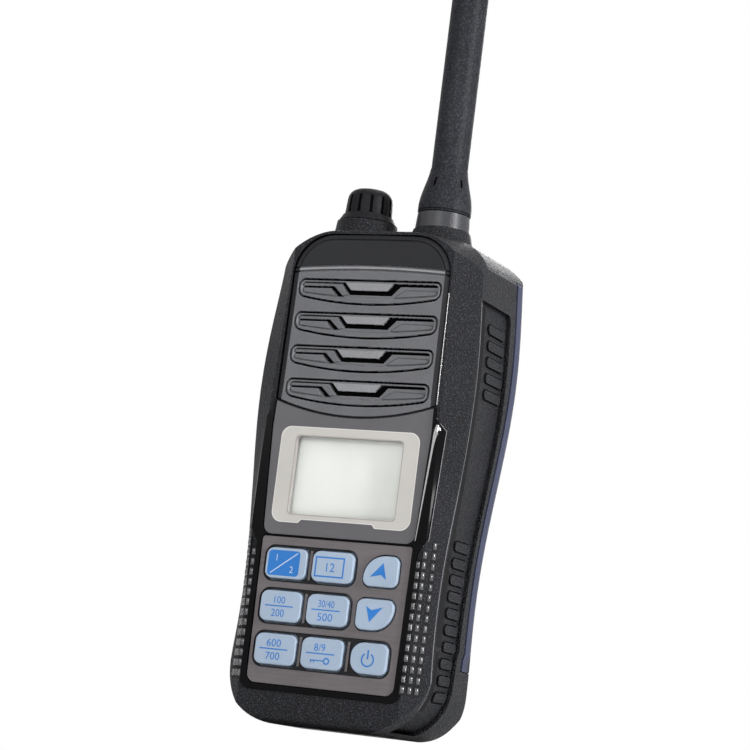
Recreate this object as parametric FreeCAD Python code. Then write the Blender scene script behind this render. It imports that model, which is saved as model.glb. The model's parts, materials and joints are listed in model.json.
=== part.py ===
import FreeCAD
import Part
import math
import os

# Handheld VHF marine radio.  Millimetres, +Z up, +X to the user's right when the
# keypad faces them, the keypad face looks along -Y.  The origin is the centre of
# the flat face that the radio stands on.  Depths (d) are measured back from the
# flat front face.

# ---- body envelope ----
body_height = 138.2
foot_flat, waist_flat, belly_flat, chest_flat, shoulder_flat = 24.6, 25.6, 26.6, 26.0, 25.0
foot_half, waist_half, belly_half, chest_half, shoulder_half = 30.8, 30.9, 31.3, 32.8, 31.7
foot_crease, waist_crease, belly_crease, chest_crease, shoulder_crease = 5.0, 6.6, 6.2, 5.2, 6.5
foot_depth, waist_depth, belly_depth, chest_depth, shoulder_depth = 30.4, 32.6, 34.2, 37.9, 40.2
waist_z, belly_z, chest_z, shoulder_z = 30.0, 60.0, 92.0, 118.0
crease_radius = 2.0
back_radius = 5.0
foot_corner_front, foot_corner_back = 18.5, 12.0
crown_corner_front, crown_corner_middle, crown_corner_back = 23.0, 13.0, 12.0
crown_middle_depth = 10.0  # where the crown's corners stop tightening
sole_front_radius = 2.5
sole_back_radius = 1.2
sole_drop = 0.1         # how far the front view runs below the flat sole
crown_front_radius = 1.0
crown_back_radius = 10.0

# ---- shells ----
wall = 3.0
front_wall = 3.9
split_foot = 5.2        # depth of the joint between the shells at the sole
split_slope = 0.018     # how much deeper the joint lies per millimetre of height
channel_depth = 1.3
channel_top = 121.0
channel_corner = 2.0
rim_foot, rim_waist, rim_belly, rim_chest, rim_shoulder = 2.5, 3.1, 1.5, 2.2, 3.2
channel_bend = 40.0     # radius of the rear rim's bends
rib_height = 0.5
rib_width = 2.5
rib_groove, rib_groove_depth = 0.45, 0.4
upper_rib_z, upper_rib_count, upper_rib_near, upper_rib_far = 94.85, 5, 14.7, 26.2
lower_rib_z, lower_rib_count, lower_rib_near, lower_rib_far = 10.95, 10, 11.5, 18.9
rib_pitch = 4.57
rib_lean = 0.06         # how much further back the ends of the lower ribs lie per millimetre of height
gasket_outset, gasket_inset, gasket_height = 1.9, 2.5, 1.0
part_gap = 0.25         # between bodies that move past each other
fit_gap = 0.1           # round pieces that drop into one another and stay there
run_gap = 0.05          # shafts that turn

# ---- front face ----
panel_thickness = 1.6
panel_half, panel_shoulder_half = 24.6, 24.2
panel_top = 137.1
panel_corner = 11.5
panel_foot_side, panel_foot_middle = 89.4, 85.2
band_line_z, band_line_rise, band_line_width, band_line_pitch = 126.6, 1.0, 0.45, 1.0
slot_half, slot_top, slot_foot, slot_foot_side = 22.0, 2.4, -4.9, -2.7
slot_pitch, slot_count, slot_first_z = 9.51, 4, 93.17
slot_corner = 1.9
slot_rim = 0.9
groove_width, groove_depth = 0.5, 0.6
slot_sink = 0.5

trim_proud = 0.3
trim_neck_half, trim_neck_z = 25.0, 86.2
trim_flare_half, trim_flare_z = 27.8, 82.8
trim_waist_half, trim_waist_z = 26.8, 53.2
trim_pad_half, trim_pad_z = 24.4, 49.2
trim_foot_half, trim_foot_z = 24.3, 8.8
trim_corner, trim_bend = 3.0, 2.0
display_half_top, display_half_foot, display_foot_z = 24.2, 22.9, 51.6
display_bulge_z = 82.0
plate_thickness = 1.5
plate_set = 0.05        # how far the display and keypad plates lie below the flat front
plate_gap = 0.3
keypad_half_top, keypad_half_foot, keypad_top_z, keypad_foot_z = 22.8, 22.2, 50.9, 10.6
keypad_corner = 2.5
ledge = 1.0             # how far each plate rests on the shell
board_overlap = 0.6     # how far the keypad board laps over that ledge

window_half, window_foot_z, window_top_z, window_corner = 16.6, 57.2, 79.6, 1.2
lens_thickness, lens_margin = 0.8, 2.6
lcd_thickness, lcd_margin, lcd_gap = 1.6, 1.8, 0.3
backlight_thickness = 1.4
lcd_frame_wall = 1.4

# ---- keys ----
key_width, key_height, key_corner = 12.5, 8.4, 2.1
key_column_pitch, key_row_pitch = 14.3, 11.8
key_middle_row_z = 31.8
key_proud, key_travel, key_clearance = 0.8, 0.6, 0.5
key_flange, key_flange_thickness, key_flange_play = 0.7, 0.6, 0.25
up_key_left, down_key_left, power_key_left = 9.5, 8.7, 8.7
arrow_key_right, power_key_right = 19.7, 19.5
arrow_round, power_round = 6.0, 3.6
pocket_margin, pocket_depth = 0.9, 0.35
membrane_thickness, keypad_board_thickness = 0.6, 1.2

# ---- inside ----
speaker_z, speaker_radius, speaker_ring = 107.4, 18.5, 1.6
speaker_gasket_thickness, speaker_basket_depth, speaker_metal = 0.6, 4.2, 0.8
magnet_radius, magnet_depth = 8.0, 3.0
mic_x, mic_radius, mic_length, mic_boot_wall, mic_hole = -20.6, 3.0, 3.0, 1.1, 0.8
chassis_depth, chassis_thickness, chassis_half = 6.8, 0.8, 25.0
chassis_foot_z, chassis_top_z = 13.0, 84.0
post_radius = 2.4
board_depth, board_thickness, board_half = 10.0, 1.2, 25.0
shield_half, shield_foot_z, shield_top_z, shield_depth, shield_metal = 13.0, 24.0, 58.0, 2.2, 0.4
screw_radius, screw_head_radius, screw_head = 1.0, 1.9, 1.4
case_screw_x, case_screw_foot_z, case_screw_top_z = 19.5, 8.0, 127.5
case_screw_depth = 15.5
column_radius = 2.9

# ---- battery ----
battery_edge = 8.7      # thickness of the pack where its edge shows at the side
battery_foot_z, battery_top_z = 20.4, 131.5
tray_edge = 4.7         # share of that edge that is the coloured tray
tray_shade, tray_shade_depth = 1.2, 0.8  # set-back along the tray's front edge
bay_half, bay_foot_z, bay_top_z, bay_floor = 24.8, 25.0, 118.0, 16.0
bay_wall = 1.4
tray_wall = 1.6
cover_wall = 1.6
cell_split_z, cell_gap = 68.0, 1.2
contact_pitch, contact_z, contact_width, contact_height = 8.0, 32.0, 3.0, 6.0
contact_lift = 0.1
latch_half, latch_travel, latch_thickness, latch_inset = 8.0, 2.4, 1.1, 5.4
latch_foot_play, latch_top_z = 0.4, 34.0
thumb_half, thumb_foot_z, thumb_height, thumb_proud = 9.0, 25.0, 8.0, 1.6
stem_half, stem_height = 3.2, 4.0

# ---- belt clip ----
clip_z = 111.5
clip_axis_out = 5.3     # hinge axis behind the cover
clip_half, clip_thickness, clip_foot_z, clip_lever = 9.0, 1.8, 62.0, 6.4
clip_pin_radius, clip_knuckle_radius = 1.2, 2.3
clip_ear_half, clip_ear_width = 11.2, 2.4
clip_base, clip_base_reach = 1.6, 7.8
clip_screw_reach = 5.6
clip_spring_half, clip_spring_wire = 5.0, 0.7

# ---- knob ----
knob_x, knob_d = -11.5, 17.0
knob_boss_radius, knob_boss_top_radius, knob_boss_height = 9.3, 8.7, 5.7
knob_radius, knob_top_radius, knob_height = 7.0, 6.2, 9.6
knob_skirt_radius, knob_skirt_height, knob_lift = 8.3, 1.8, 0.35
knob_flutes, knob_flute_radius, knob_flute_bite = 12, 1.1, 0.45
knob_shoulder = 3.0
shaft_radius, bushing_radius = 3.0, 3.7
encoder_half, encoder_height = 5.5, 6.5
nut_radius, nut_height, seal_height = 5.4, 1.6, 0.8

# ---- antenna ----
antenna_x, antenna_d = 12.2, 17.0
antenna_top = 293.0
whip_radius = 5.2
boot_foot_z, boot_top_z, boot_radius = 147.0, 160.0, 7.5
ring_foot_z, ring_radius = 142.2, 7.8
antenna_boss_radius, antenna_boss_top_radius = 9.2, 8.2
antenna_groove = 0.35
jack_radius, jack_hex, jack_flange, jack_reach, jack_bore = 3.0, 4.2, 2.0, 3.2, 0.9
plug_radius, plug_pin_radius = 4.6, 0.5
well_radius = 5.2
coil_radius, coil_wire, coil_turns, coil_pitch = 2.4, 0.8, 6, 3.0
coil_lead, coil_foot = 1.0, 0.6
antenna_seal_height, antenna_seal_edge = 0.9, 1.2

# ---- push-to-talk ----
ptt_near, ptt_far, ptt_foot_z, ptt_top_z = 12.0, 21.6, 74.0, 104.0
ptt_proud, ptt_travel, ptt_corner, ptt_edge = 0.4, 1.2, 3.0, 0.8
ptt_groove_count, ptt_groove_margin, ptt_groove_pitch, ptt_groove_depth = 5, 6.5, 4.0, 0.5
ptt_seal_thickness, ptt_switch_size, ptt_switch_height = 0.6, 6.0, 1.5

front = -foot_depth / 2.0
big = 200.0


def vec(x, d, z):
    return FreeCAD.Vector(x, front + d, z)


def box(x0, x1, d0, d1, z0, z1):
    return Part.makeBox(x1 - x0, d1 - d0, z1 - z0, vec(x0, d0, z0))


def post(x, z, radius, d0, d1):
    """Round post along the depth."""
    return Part.makeCylinder(radius, d1 - d0, vec(x, d0, z), FreeCAD.Vector(0, 1, 0))


def upright(x, d, radius, z0, z1):
    return Part.makeCylinder(radius, z1 - z0, vec(x, d, z0))


def taper(x, d, radius0, radius1, z0, z1):
    return Part.makeCone(radius0, radius1, z1 - z0, vec(x, d, z0))


def across(d, z, radius, x0, x1):
    """Round bar along the width."""
    return Part.makeCylinder(radius, x1 - x0, vec(x0, d, z), FreeCAD.Vector(1, 0, 0))


def join(shapes):
    shapes = list(shapes)
    if len(shapes) == 1:
        return shapes[0]
    return shapes[0].fuse(shapes[1:]).removeSplitter()


def rounded(corners, place):
    """Closed wire through (u, v, radius) corners, each one an arc tangent to its two sides."""
    count = len(corners)
    cuts = []
    for index, (u, v, radius) in enumerate(corners):
        here = FreeCAD.Vector(u, v, 0)
        before = FreeCAD.Vector(corners[index - 1][0], corners[index - 1][1], 0)
        after = FreeCAD.Vector(corners[(index + 1) % count][0], corners[(index + 1) % count][1], 0)
        to_before = (before - here).normalize()
        to_after = (after - here).normalize()
        if radius <= 0:
            cuts.append((here, None, here))
            continue
        half = to_before.getAngle(to_after) / 2.0
        reach = radius / math.tan(half)
        bisector = (to_before + to_after).normalize()
        centre = here + bisector * (radius / math.sin(half))
        cuts.append((here + to_before * reach, centre - bisector * radius, here + to_after * reach))
    edges = []
    for index, (start, middle, end) in enumerate(cuts):
        if middle is not None:
            points = [place(p.x, p.y) for p in (start, middle, end)]
            edges.append(Part.Arc(*points).toShape())
        following = cuts[(index + 1) % count][0]
        if (following - end).Length > 1e-6:
            edges.append(Part.LineSegment(place(end.x, end.y), place(following.x, following.y)).toShape())
    return Part.Wire(edges)


def face_prism(corners, d0, d1):
    """Prism along the depth from an outline of (x, z, radius) corners."""
    wire = rounded(corners, lambda u, v: vec(u, d0, v))
    return Part.Face(wire).extrude(FreeCAD.Vector(0, d1 - d0, 0))


def side_prism(corners, x0, x1):
    """Prism along the width from an outline of (d, z, radius) corners."""
    wire = rounded(corners, lambda u, v: vec(x0, u, v))
    return Part.Face(wire).extrude(FreeCAD.Vector(x1 - x0, 0, 0))


def mirrored(corners):
    """Whole outline from the corners of its right half, listed from the foot up."""
    return corners + [(-u, v, radius) for u, v, radius in reversed(corners)]


def wall_slot(x0, x1, z0, z1, radius, d0, d1):
    return face_prism([(x0, z0, radius), (x1, z0, radius), (x1, z1, radius), (x0, z1, radius)], d0, d1)


# ---- body envelope ----
stations = [
    (-3.0, foot_flat, foot_half, foot_crease, foot_depth),
    (waist_z, waist_flat, waist_half, waist_crease, waist_depth),
    (belly_z, belly_flat, belly_half, belly_crease, belly_depth),
    (chest_z, chest_flat, chest_half, chest_crease, chest_depth),
    (shoulder_z, shoulder_flat, shoulder_half, shoulder_crease, shoulder_depth),
    (body_height + 3.0, shoulder_flat - 0.8, shoulder_half - 1.2, shoulder_crease - 0.4, shoulder_depth - 0.4),
]


def plan_wire(station, inset):
    """Outline of the body at one height: flat front, two front bevels, sides and a rounded back."""
    z, flat, half, crease, depth = station
    slope = (half - flat) / crease
    normal = math.hypot(1.0, slope)
    half_in = half - inset
    crease_in = crease + inset * (normal - 1.0) / slope
    reach = 2.0
    flat_in = half_in - slope * (crease_in - inset + reach)
    corners = [
        (flat_in, inset - reach, 0.0),
        (half_in, crease_in, crease_radius),
        (half_in, depth - inset, max(back_radius - inset, 0.8)),
        (-half_in, depth - inset, max(back_radius - inset, 0.8)),
        (-half_in, crease_in, crease_radius),
        (-flat_in, inset - reach, 0.0),
    ]
    return rounded(corners, lambda u, v: vec(u, v, z))


def front_outline(inset, d, foot_corner, crown_corner):
    """Front view of the body; its four corners are rounder in front than at the back."""
    far = chest_half + 6.0
    foot_side = foot_half - 0.1 - inset
    sole = inset - sole_drop
    crown_side = shoulder_half - 0.6 - inset
    crown_foot = body_height - crown_corner_front - 4.0
    corners = mirrored([
        (foot_side, sole, foot_corner - inset),
        (foot_side, foot_corner_front + 5.0, 0.0),
        (far, belly_z, 0.0),
        (far, chest_z, 0.0),
        (crown_side + 0.05 * (body_height - crown_foot), crown_foot, 0.0),
        (crown_side, body_height - inset, crown_corner - inset),
    ])
    return rounded(corners, lambda u, v: vec(u, d, v))


envelopes = {}


def envelope(inset):
    """The outer body, or the same shape drawn in by an even wall."""
    if inset not in envelopes:
        loft = Part.makeLoft([plan_wire(station, inset) for station in stations], True, False)
        top = body_height - inset
        far = chest_half + 6.0
        deep = shoulder_depth + 5.0
        foot_corner_middle = foot_corner_front + (foot_corner_back - foot_corner_front) * crown_middle_depth / deep
        outlines = [
            front_outline(inset, -1.0, foot_corner_front, crown_corner_front),
            front_outline(inset, crown_middle_depth, foot_corner_middle, crown_corner_middle),
            front_outline(inset, deep, foot_corner_back, crown_corner_back),
        ]
        from_front = Part.makeLoft(outlines, True, True)
        from_side = side_prism([
            (inset, inset, max(sole_front_radius - inset, 0.4)),
            (foot_depth - inset, inset, max(sole_back_radius - inset, 0.8)),
            (foot_depth - inset, sole_back_radius + 4.0, 0.0),
            (deep, belly_z, 0.0),
            (deep, shoulder_z - 10.0, 0.0),
            (shoulder_depth - 0.4 - inset, shoulder_z + 1.0, 0.0),
            (shoulder_depth - 0.4 - inset, top, crown_back_radius - inset),
            (inset, top, max(crown_front_radius - inset, 0.3)),
        ], -far, far)
        envelopes[inset] = loft.common(from_front).common(from_side)
    return envelopes[inset]


def seam_curve(offset):
    """Depth and height of the joint between radio and battery, set back from the rear face."""
    edge = battery_edge - offset
    points = [(depth - edge, z) for z, flat, half, crease, depth in stations]
    curve = Part.BSplineCurve()
    curve.interpolate([vec(-60.0, d, z) for d, z in points])
    return curve.toShape(), points


def ahead_of_seam(offset):
    """Everything in front of the joint with the battery."""
    curve, points = seam_curve(offset)
    start, end = points[0], points[-1]
    wire = Part.Wire([
        curve,
        Part.LineSegment(vec(-60.0, end[0], end[1]), vec(-60.0, -20.0, end[1])).toShape(),
        Part.LineSegment(vec(-60.0, -20.0, end[1]), vec(-60.0, -20.0, start[1])).toShape(),
        Part.LineSegment(vec(-60.0, -20.0, start[1]), vec(-60.0, start[0], start[1])).toShape(),
    ])
    return Part.Face(wire).extrude(FreeCAD.Vector(120.0, 0, 0))


def split_at(z):
    return split_foot + split_slope * z


def ahead_of_split(offset=0.0):
    low, high = -10.0, body_height + 10.0
    return side_prism([
        (-20.0, low, 0.0),
        (split_at(low) + offset, low, 0.0),
        (split_at(high) + offset, high, 0.0),
        (-20.0, high, 0.0),
    ], -60.0, 60.0)


# ---- outlines on the front face ----
def panel_outline(gap):
    side = panel_half - gap
    return [
        (side, panel_foot_side + gap, 0.0),
        (side, chest_z + 10.0, 0.0),
        (panel_shoulder_half - gap, panel_top - gap, panel_corner - gap),
    ]


def foot_arc_prism(lower, d0, d1, half=60.0):
    """Everything above the arc that bounds the speaker panel's foot, dropped by `lower`."""
    a = vec(-panel_half, d0, panel_foot_side - lower)
    b = vec(0, d0, panel_foot_middle - lower)
    c = vec(panel_half, d0, panel_foot_side - lower)
    arc = Part.Arc(a, b, c).toShape()
    top = body_height + 10.0
    wire = Part.Wire([
        arc,
        Part.LineSegment(c, vec(half, d0, panel_foot_side - lower)).toShape(),
        Part.LineSegment(vec(half, d0, panel_foot_side - lower), vec(half, d0, top)).toShape(),
        Part.LineSegment(vec(half, d0, top), vec(-half, d0, top)).toShape(),
        Part.LineSegment(vec(-half, d0, top), vec(-half, d0, panel_foot_side - lower)).toShape(),
        Part.LineSegment(vec(-half, d0, panel_foot_side - lower), a).toShape(),
    ])
    return Part.Face(wire).extrude(FreeCAD.Vector(0, d1 - d0, 0))


def panel_prism(gap, d0, d1):
    blank = face_prism(mirrored([(panel_half - gap, panel_foot_middle - 2.0, 0.0)] + panel_outline(gap)[1:]), d0, d1)
    return blank.common(foot_arc_prism(-gap, d0 - 1.0, d1 + 1.0))


def display_prism(gap, d0, d1):
    corners = mirrored([
        (display_half_foot - gap, display_foot_z + gap, max(keypad_corner - gap, 0.3)),
        (display_half_top - gap, display_bulge_z, 0.0),
        (display_half_top - 0.3 - gap, panel_foot_side + 3.0, 0.0),
    ])
    return face_prism(corners, d0, d1).cut(foot_arc_prism(plate_gap + gap, d0 - 1.0, d1 + 1.0))


def keypad_prism(gap, d0, d1):
    corners = mirrored([
        (keypad_half_foot - gap, keypad_foot_z + gap, keypad_corner - gap),
        (keypad_half_top - gap, keypad_top_z - gap, max(0.8 - gap, 0.2)),
    ])
    return face_prism(corners, d0, d1)


def trim_prism(gap, d0, d1):
    corners = mirrored([
        (trim_foot_half - gap, trim_foot_z + gap, trim_corner - gap),
        (trim_pad_half - gap, trim_pad_z, trim_bend),
        (trim_waist_half - gap, trim_waist_z, trim_bend),
        (trim_flare_half - gap, trim_flare_z, 0.6),
        (trim_neck_half - gap, trim_neck_z, 0.6),
        (trim_neck_half - gap, panel_foot_side + 3.0, 0.0),
    ])
    return face_prism(corners, d0, d1).cut(foot_arc_prism(plate_gap + gap, d0 - 1.0, d1 + 1.0))


# ---- speaker panel ----
def slot_outline(z, grow, d0, d1):
    """Opening with a straight top and a foot that bows down in the middle."""
    end = slot_half + grow
    foot_side = z + slot_foot_side - grow
    radius = slot_corner + grow
    blank = face_prism([
        (-end, z + slot_foot - grow - 1.0, 0.0),
        (end, z + slot_foot - grow - 1.0, 0.0),
        (end, z + slot_top + grow, radius),
        (-end, z + slot_top + grow, radius),
    ], d0, d1)
    a = vec(-end - 0.01, d0 - 1, foot_side + 1.0)
    b = vec(0, d0 - 1, z + slot_foot - grow)
    c = vec(end + 0.01, d0 - 1, foot_side + 1.0)
    wire = Part.Wire([
        Part.Arc(a, b, c).toShape(),
        Part.LineSegment(c, vec(end + 0.01, d0 - 1, z - 12.0)).toShape(),
        Part.LineSegment(vec(end + 0.01, d0 - 1, z - 12.0), vec(-end - 0.01, d0 - 1, z - 12.0)).toShape(),
        Part.LineSegment(vec(-end - 0.01, d0 - 1, z - 12.0), a).toShape(),
    ])
    below = Part.Face(wire).extrude(FreeCAD.Vector(0, d1 - d0 + 2, 0))
    return blank.cut(below)


def slot_cut(z):
    """What one speaker opening takes out of the panel: a ring groove, a sunk floor and the sound gaps."""
    ring = slot_outline(z, 0.0, -1.0, groove_depth).cut(slot_outline(z, -groove_width, -2.0, groove_depth + 1.0))
    inner = slot_outline(z, -groove_width - slot_rim, -1.0, slot_sink)
    through = -1.0, panel_thickness + 1.0
    top = z + slot_top - groove_width - slot_rim
    left_gap = face_prism([
        (-20.6, top, 0.0), (-20.6, top - 0.9, 0.5), (-17.6, top - 0.9, 0.0), (-17.6, top - 0.55, 0.0),
        (-8.2, top - 0.55, 0.0), (-5.0, z - 2.3, 0.0), (7.2, z - 2.3, 0.0), (9.8, z + 0.35, 0.0),
        (20.4, z + 0.35, 0.3), (20.4, top, 0.0), (7.7, top, 0.0), (5.5, z - 0.9, 0.0), (-5.2, z - 0.9, 0.0),
        (-7.2, top, 0.0),
    ], *through)
    left_slit = face_prism([
        (-11.9, z - 0.65, 0.0), (-8.6, z - 2.7, 0.0), (-7.3, z - 2.7, 0.0), (-10.9, z - 0.25, 0.0),
    ], *through)
    leaf_line = face_prism([
        (9.7, z - 2.3, 0.0), (10.1, z - 2.3, 0.0), (12.1, z - 1.0, 0.0), (20.6, z - 1.2, 0.0),
        (20.6, z - 0.95, 0.0), (12.0, z - 0.75, 0.0),
    ], 0.0, slot_sink + 0.4)
    left_line = face_prism([
        (-20.4, z - 0.8, 0.0), (-12.0, z - 0.8, 0.0), (-12.0, z - 0.5, 0.0), (-20.4, z - 0.5, 0.0),
    ], 0.0, slot_sink + 0.4)
    return [ring, inner, left_gap, left_slit, leaf_line, left_line]


def trapezoid(z):
    """The bright insert that hangs from the top rim of one opening."""
    top = z + slot_top - groove_width - slot_rim + 0.2
    return face_prism([(-7.0, top, 0.0), (-5.1, z - 0.75, 0.2), (5.3, z - 0.75, 0.2), (7.4, top, 0.0)],
                      0.05, panel_thickness)


def arched_line(z, width):
    """Fine groove that arches across the panel."""
    half = panel_half + 1.0
    outer = Part.Arc(vec(-half, -1.0, z - band_line_rise), vec(0, -1.0, z), vec(half, -1.0, z - band_line_rise))
    inner = Part.Arc(vec(-half, -1.0, z - band_line_rise - width), vec(0, -1.0, z - width),
                     vec(half, -1.0, z - band_line_rise - width))
    edges = [
        outer.toShape(),
        Part.LineSegment(vec(half, -1.0, z - band_line_rise), vec(half, -1.0, z - band_line_rise - width)).toShape(),
        inner.toShape(),
        Part.LineSegment(vec(-half, -1.0, z - band_line_rise - width), vec(-half, -1.0, z - band_line_rise)).toShape(),
    ]
    return Part.Face(Part.Wire(edges)).extrude(FreeCAD.Vector(0, 1.0 + 0.35, 0))


def slot_levels():
    return [slot_first_z + slot_pitch * index for index in range(slot_count)]


def speaker_panel():
    panel = panel_prism(plate_gap, 0.0, panel_thickness)
    cuts = []
    for z in slot_levels():
        cuts += slot_cut(z)
    cuts.append(arched_line(band_line_z + band_line_rise, band_line_width))
    cuts.append(arched_line(band_line_z + band_line_rise + band_line_pitch, band_line_width))
    panel = panel.cut(cuts)
    return join([panel] + [trapezoid(z) for z in slot_levels()])


# ---- shells ----
def lcd_half():
    return window_half + lcd_margin


def frame_box(grow):
    """Half width, foot and top of the display holder, grown by a clearance."""
    edge = lcd_margin + lcd_frame_wall + grow
    return window_half + edge, window_foot_z - edge, window_top_z + edge


def lens_box(grow):
    edge = lens_margin + grow
    return window_half + edge, window_foot_z - edge, window_top_z + edge


def case_screw_places():
    places = []
    for x in (-case_screw_x, case_screw_x):
        places.append((x, case_screw_foot_z))
        places.append((x, case_screw_top_z))
    return places


def chassis_post_places():
    x = chassis_half - 2.8
    return [(-x, chassis_foot_z + 3.0), (x, chassis_foot_z + 3.0), (-x, chassis_top_z - 3.0), (x, chassis_top_z - 3.0)]


def front_shell():
    shell = envelope(0.0).common(ahead_of_split())
    cavity = envelope(wall).common(box(-big, big, front_wall, big, -big, big))
    shell = shell.cut(cavity)
    bosses = [post(x, z, column_radius, front_wall - 0.5, split_at(z) + 3.0).common(ahead_of_split())
              for x, z in case_screw_places()]
    bosses = [boss.common(envelope(0.8)) for boss in bosses]
    shell = join([shell] + bosses)
    cuts = [
        panel_prism(0.0, -2.0, panel_thickness + 0.05),
        trim_prism(-fit_gap, -3.0, plate_back()),
        keypad_prism(ledge, -3.0, front_wall + 1.0),
        post(0, speaker_z, speaker_radius - speaker_ring, -3.0, front_wall + 1.0),
        post(mic_x, slot_first_z, mic_hole, 0.0, front_wall + 1.0),
    ]
    half, foot, top = lens_box(fit_gap)
    cuts.append(wall_slot(-half, half, foot, top, 1.5, -3.0, front_wall + 1.0))
    cuts += [post(x, z, screw_radius - 0.1, front_wall - 0.4, big / 4) for x, z in case_screw_places()]
    return shell.cut(cuts + crown_seats())


def crown_seats():
    """Flat seats under the crown for the encoder and for the antenna jack's flange."""
    top = body_height - wall
    half = encoder_half + fit_gap
    return [
        box(knob_x - half, knob_x + half, knob_d - half, knob_d + half, top - encoder_height, top),
        upright(antenna_x, antenna_d, jack_hex + fit_gap, top - jack_flange - 0.2, top),
    ]


def channel_prism():
    """Side view of the finger channel; its rear edge keeps a rim in front of the battery."""
    rims = [rim_foot, rim_waist, rim_belly, rim_chest, rim_shoulder]
    rear = [(depth - battery_edge - rim, max(z, channel_depth), channel_bend)
            for (z, flat, half, crease, depth), rim in zip(stations, rims)]
    outline = [(-2.0, channel_depth, 0.0), rear[0][:2] + (0.0,)] + rear[1:]
    return side_prism(outline + [(rear[-1][0], channel_top, channel_corner), (-2.0, channel_top, 0.0)],
                      -big / 2, big / 2)


def rib_prisms(grow):
    """The two rows of finger ribs, as rounded bars across the side."""
    bars = []
    for first, count, near, foot_far, lean in (
        (upper_rib_z, upper_rib_count, upper_rib_near, upper_rib_far, 0.0),
        (lower_rib_z, lower_rib_count, lower_rib_near, lower_rib_far, rib_lean),
    ):
        for index in range(count):
            z = first + rib_pitch * index
            far = foot_far + lean * (z - first)
            corner = rib_width / 2 + grow - 0.05
            low, high = z - grow, z + rib_width + grow
            bars.append(side_prism([(near - grow, low, corner), (far + grow, low, corner),
                                    (far + grow, high, corner), (near - grow, high, corner)], -big / 2, big / 2))
    return Part.makeCompound(bars)


def channel_cut():
    """What the channel takes out of both sides: an even layer, less the ribs, plus a groove round each rib."""
    sink = channel_prism().cut(envelope(channel_depth))
    sink = sink.cut(rib_prisms(0.0).common(envelope(channel_depth - rib_height)))
    grooves = rib_prisms(rib_groove).cut(rib_prisms(0.0)).cut(envelope(channel_depth + rib_groove_depth))
    return [sink, grooves]


def ptt_prism(grow, x0, x1):
    radius = max(ptt_corner + grow, 0.5)
    return side_prism([
        (ptt_near - grow, ptt_foot_z - grow, radius),
        (ptt_far + grow, ptt_foot_z - grow, radius),
        (ptt_far + grow, ptt_top_z + grow, radius),
        (ptt_near - grow, ptt_top_z + grow, radius),
    ], x0, x1)


def battery_zone():
    """Height band that the battery pack fills."""
    return box(-big / 2, big / 2, -20.0, big / 2, battery_foot_z, battery_top_z)


def rear_shell():
    radio = ahead_of_seam(0.0)
    foot = box(-big / 2, big / 2, -20.0, big / 2, -5.0, battery_foot_z - part_gap)
    crown = box(-big / 2, big / 2, -20.0, big / 2, battery_top_z + part_gap, body_height + 5.0)
    body = envelope(0.0).cut(ahead_of_split())
    shell = join([body.common(radio), body.common(foot), body.common(crown)])
    shell = shell.cut(channel_cut())
    inside = envelope(wall).common(ahead_of_seam(-wall))
    bay_outer = box(-bay_half - bay_wall, bay_half + bay_wall, bay_floor - bay_wall, big,
                    bay_foot_z - bay_wall, bay_top_z + bay_wall)
    inside = inside.cut(bay_outer)
    columns = []
    for x, z in case_screw_places():
        column = post(x, z, column_radius, split_at(z), big / 4).common(shell)
        columns.append(column)
    inside = inside.cut(columns)
    shell = shell.cut(inside)
    shell = shell.cut(box(-bay_half, bay_half, bay_floor, big, bay_foot_z, bay_top_z))
    top = body_height
    shell = join([
        shell,
        taper(knob_x, knob_d, knob_boss_radius, knob_boss_top_radius, top, top + knob_boss_height),
        taper(antenna_x, antenna_d, antenna_boss_radius, antenna_boss_top_radius, top, ring_foot_z - part_gap),
    ])
    cuts = [main_gasket()] + crown_seats()
    cuts.append(upright(knob_x, knob_d, bushing_radius + run_gap, top - wall - 1.0, top + 20.0))
    cuts.append(upright(antenna_x, antenna_d, well_radius, top - 0.5, top + 20.0))
    cuts.append(upright(antenna_x, antenna_d, jack_radius + fit_gap, top - wall - 1.0, top + 20.0))
    cuts.append(ptt_prism(part_gap, -big / 2, -bay_half - bay_wall - 0.2))
    for x in (-contact_pitch, 0.0, contact_pitch):
        cuts.append(box(x - contact_width / 2, x + contact_width / 2, 0.0, bay_floor + 1.0,
                        contact_z, contact_z + contact_height).common(
                            box(-big, big, bay_floor - bay_wall - 0.5, big, -big, big)))
    for x, z in case_screw_places():
        cuts.append(post(x, z, screw_radius + fit_gap, 0.0, big / 4))
        cuts.append(post(x, z, screw_head_radius + 0.3, case_screw_depth, big / 4))
    cuts.append(box(-latch_half - part_gap, latch_half + part_gap, latch_depth() - part_gap,
                    latch_depth() + latch_thickness + part_gap,
                    battery_foot_z - latch_travel - 1.2, battery_foot_z + 1.0))
    return shell.cut(cuts)


def main_gasket():
    ring = envelope(gasket_outset).cut(envelope(gasket_inset))
    return ring.common(ahead_of_split(gasket_height)).cut(ahead_of_split())


# ---- front plates ----
def plate_back():
    return plate_set + plate_thickness


def front_trim():
    """One gloss frame that runs down both sides of the display and round the keypad."""
    outer = trim_prism(0.0, -3.0, plate_back())
    outer = outer.common(envelope(-trim_proud))
    for cutter in (display_prism(-plate_gap, -4.0, 10.0), keypad_prism(-plate_gap, -4.0, 10.0)):
        outer = outer.cut(cutter)
    bridge = box(-trim_waist_half, trim_waist_half, -4.0, 10.0, keypad_top_z + 0.1, display_foot_z - 0.1)
    bar = trim_prism(0.0, plate_back() - 0.7, plate_back()).common(bridge)
    return join([outer, bar])


def display_plate():
    plate = display_prism(0.0, plate_set, plate_back())
    window = wall_slot(-window_half, window_half, window_foot_z, window_top_z, window_corner, -1.0, 10.0)
    return plate.cut(window)


def display_lens():
    half, foot, top = lens_box(0.0)
    return wall_slot(-half, half, foot, top, 1.5, plate_back(), plate_back() + lens_thickness)


def lcd_start():
    return plate_back() + lens_thickness + lcd_gap


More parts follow.
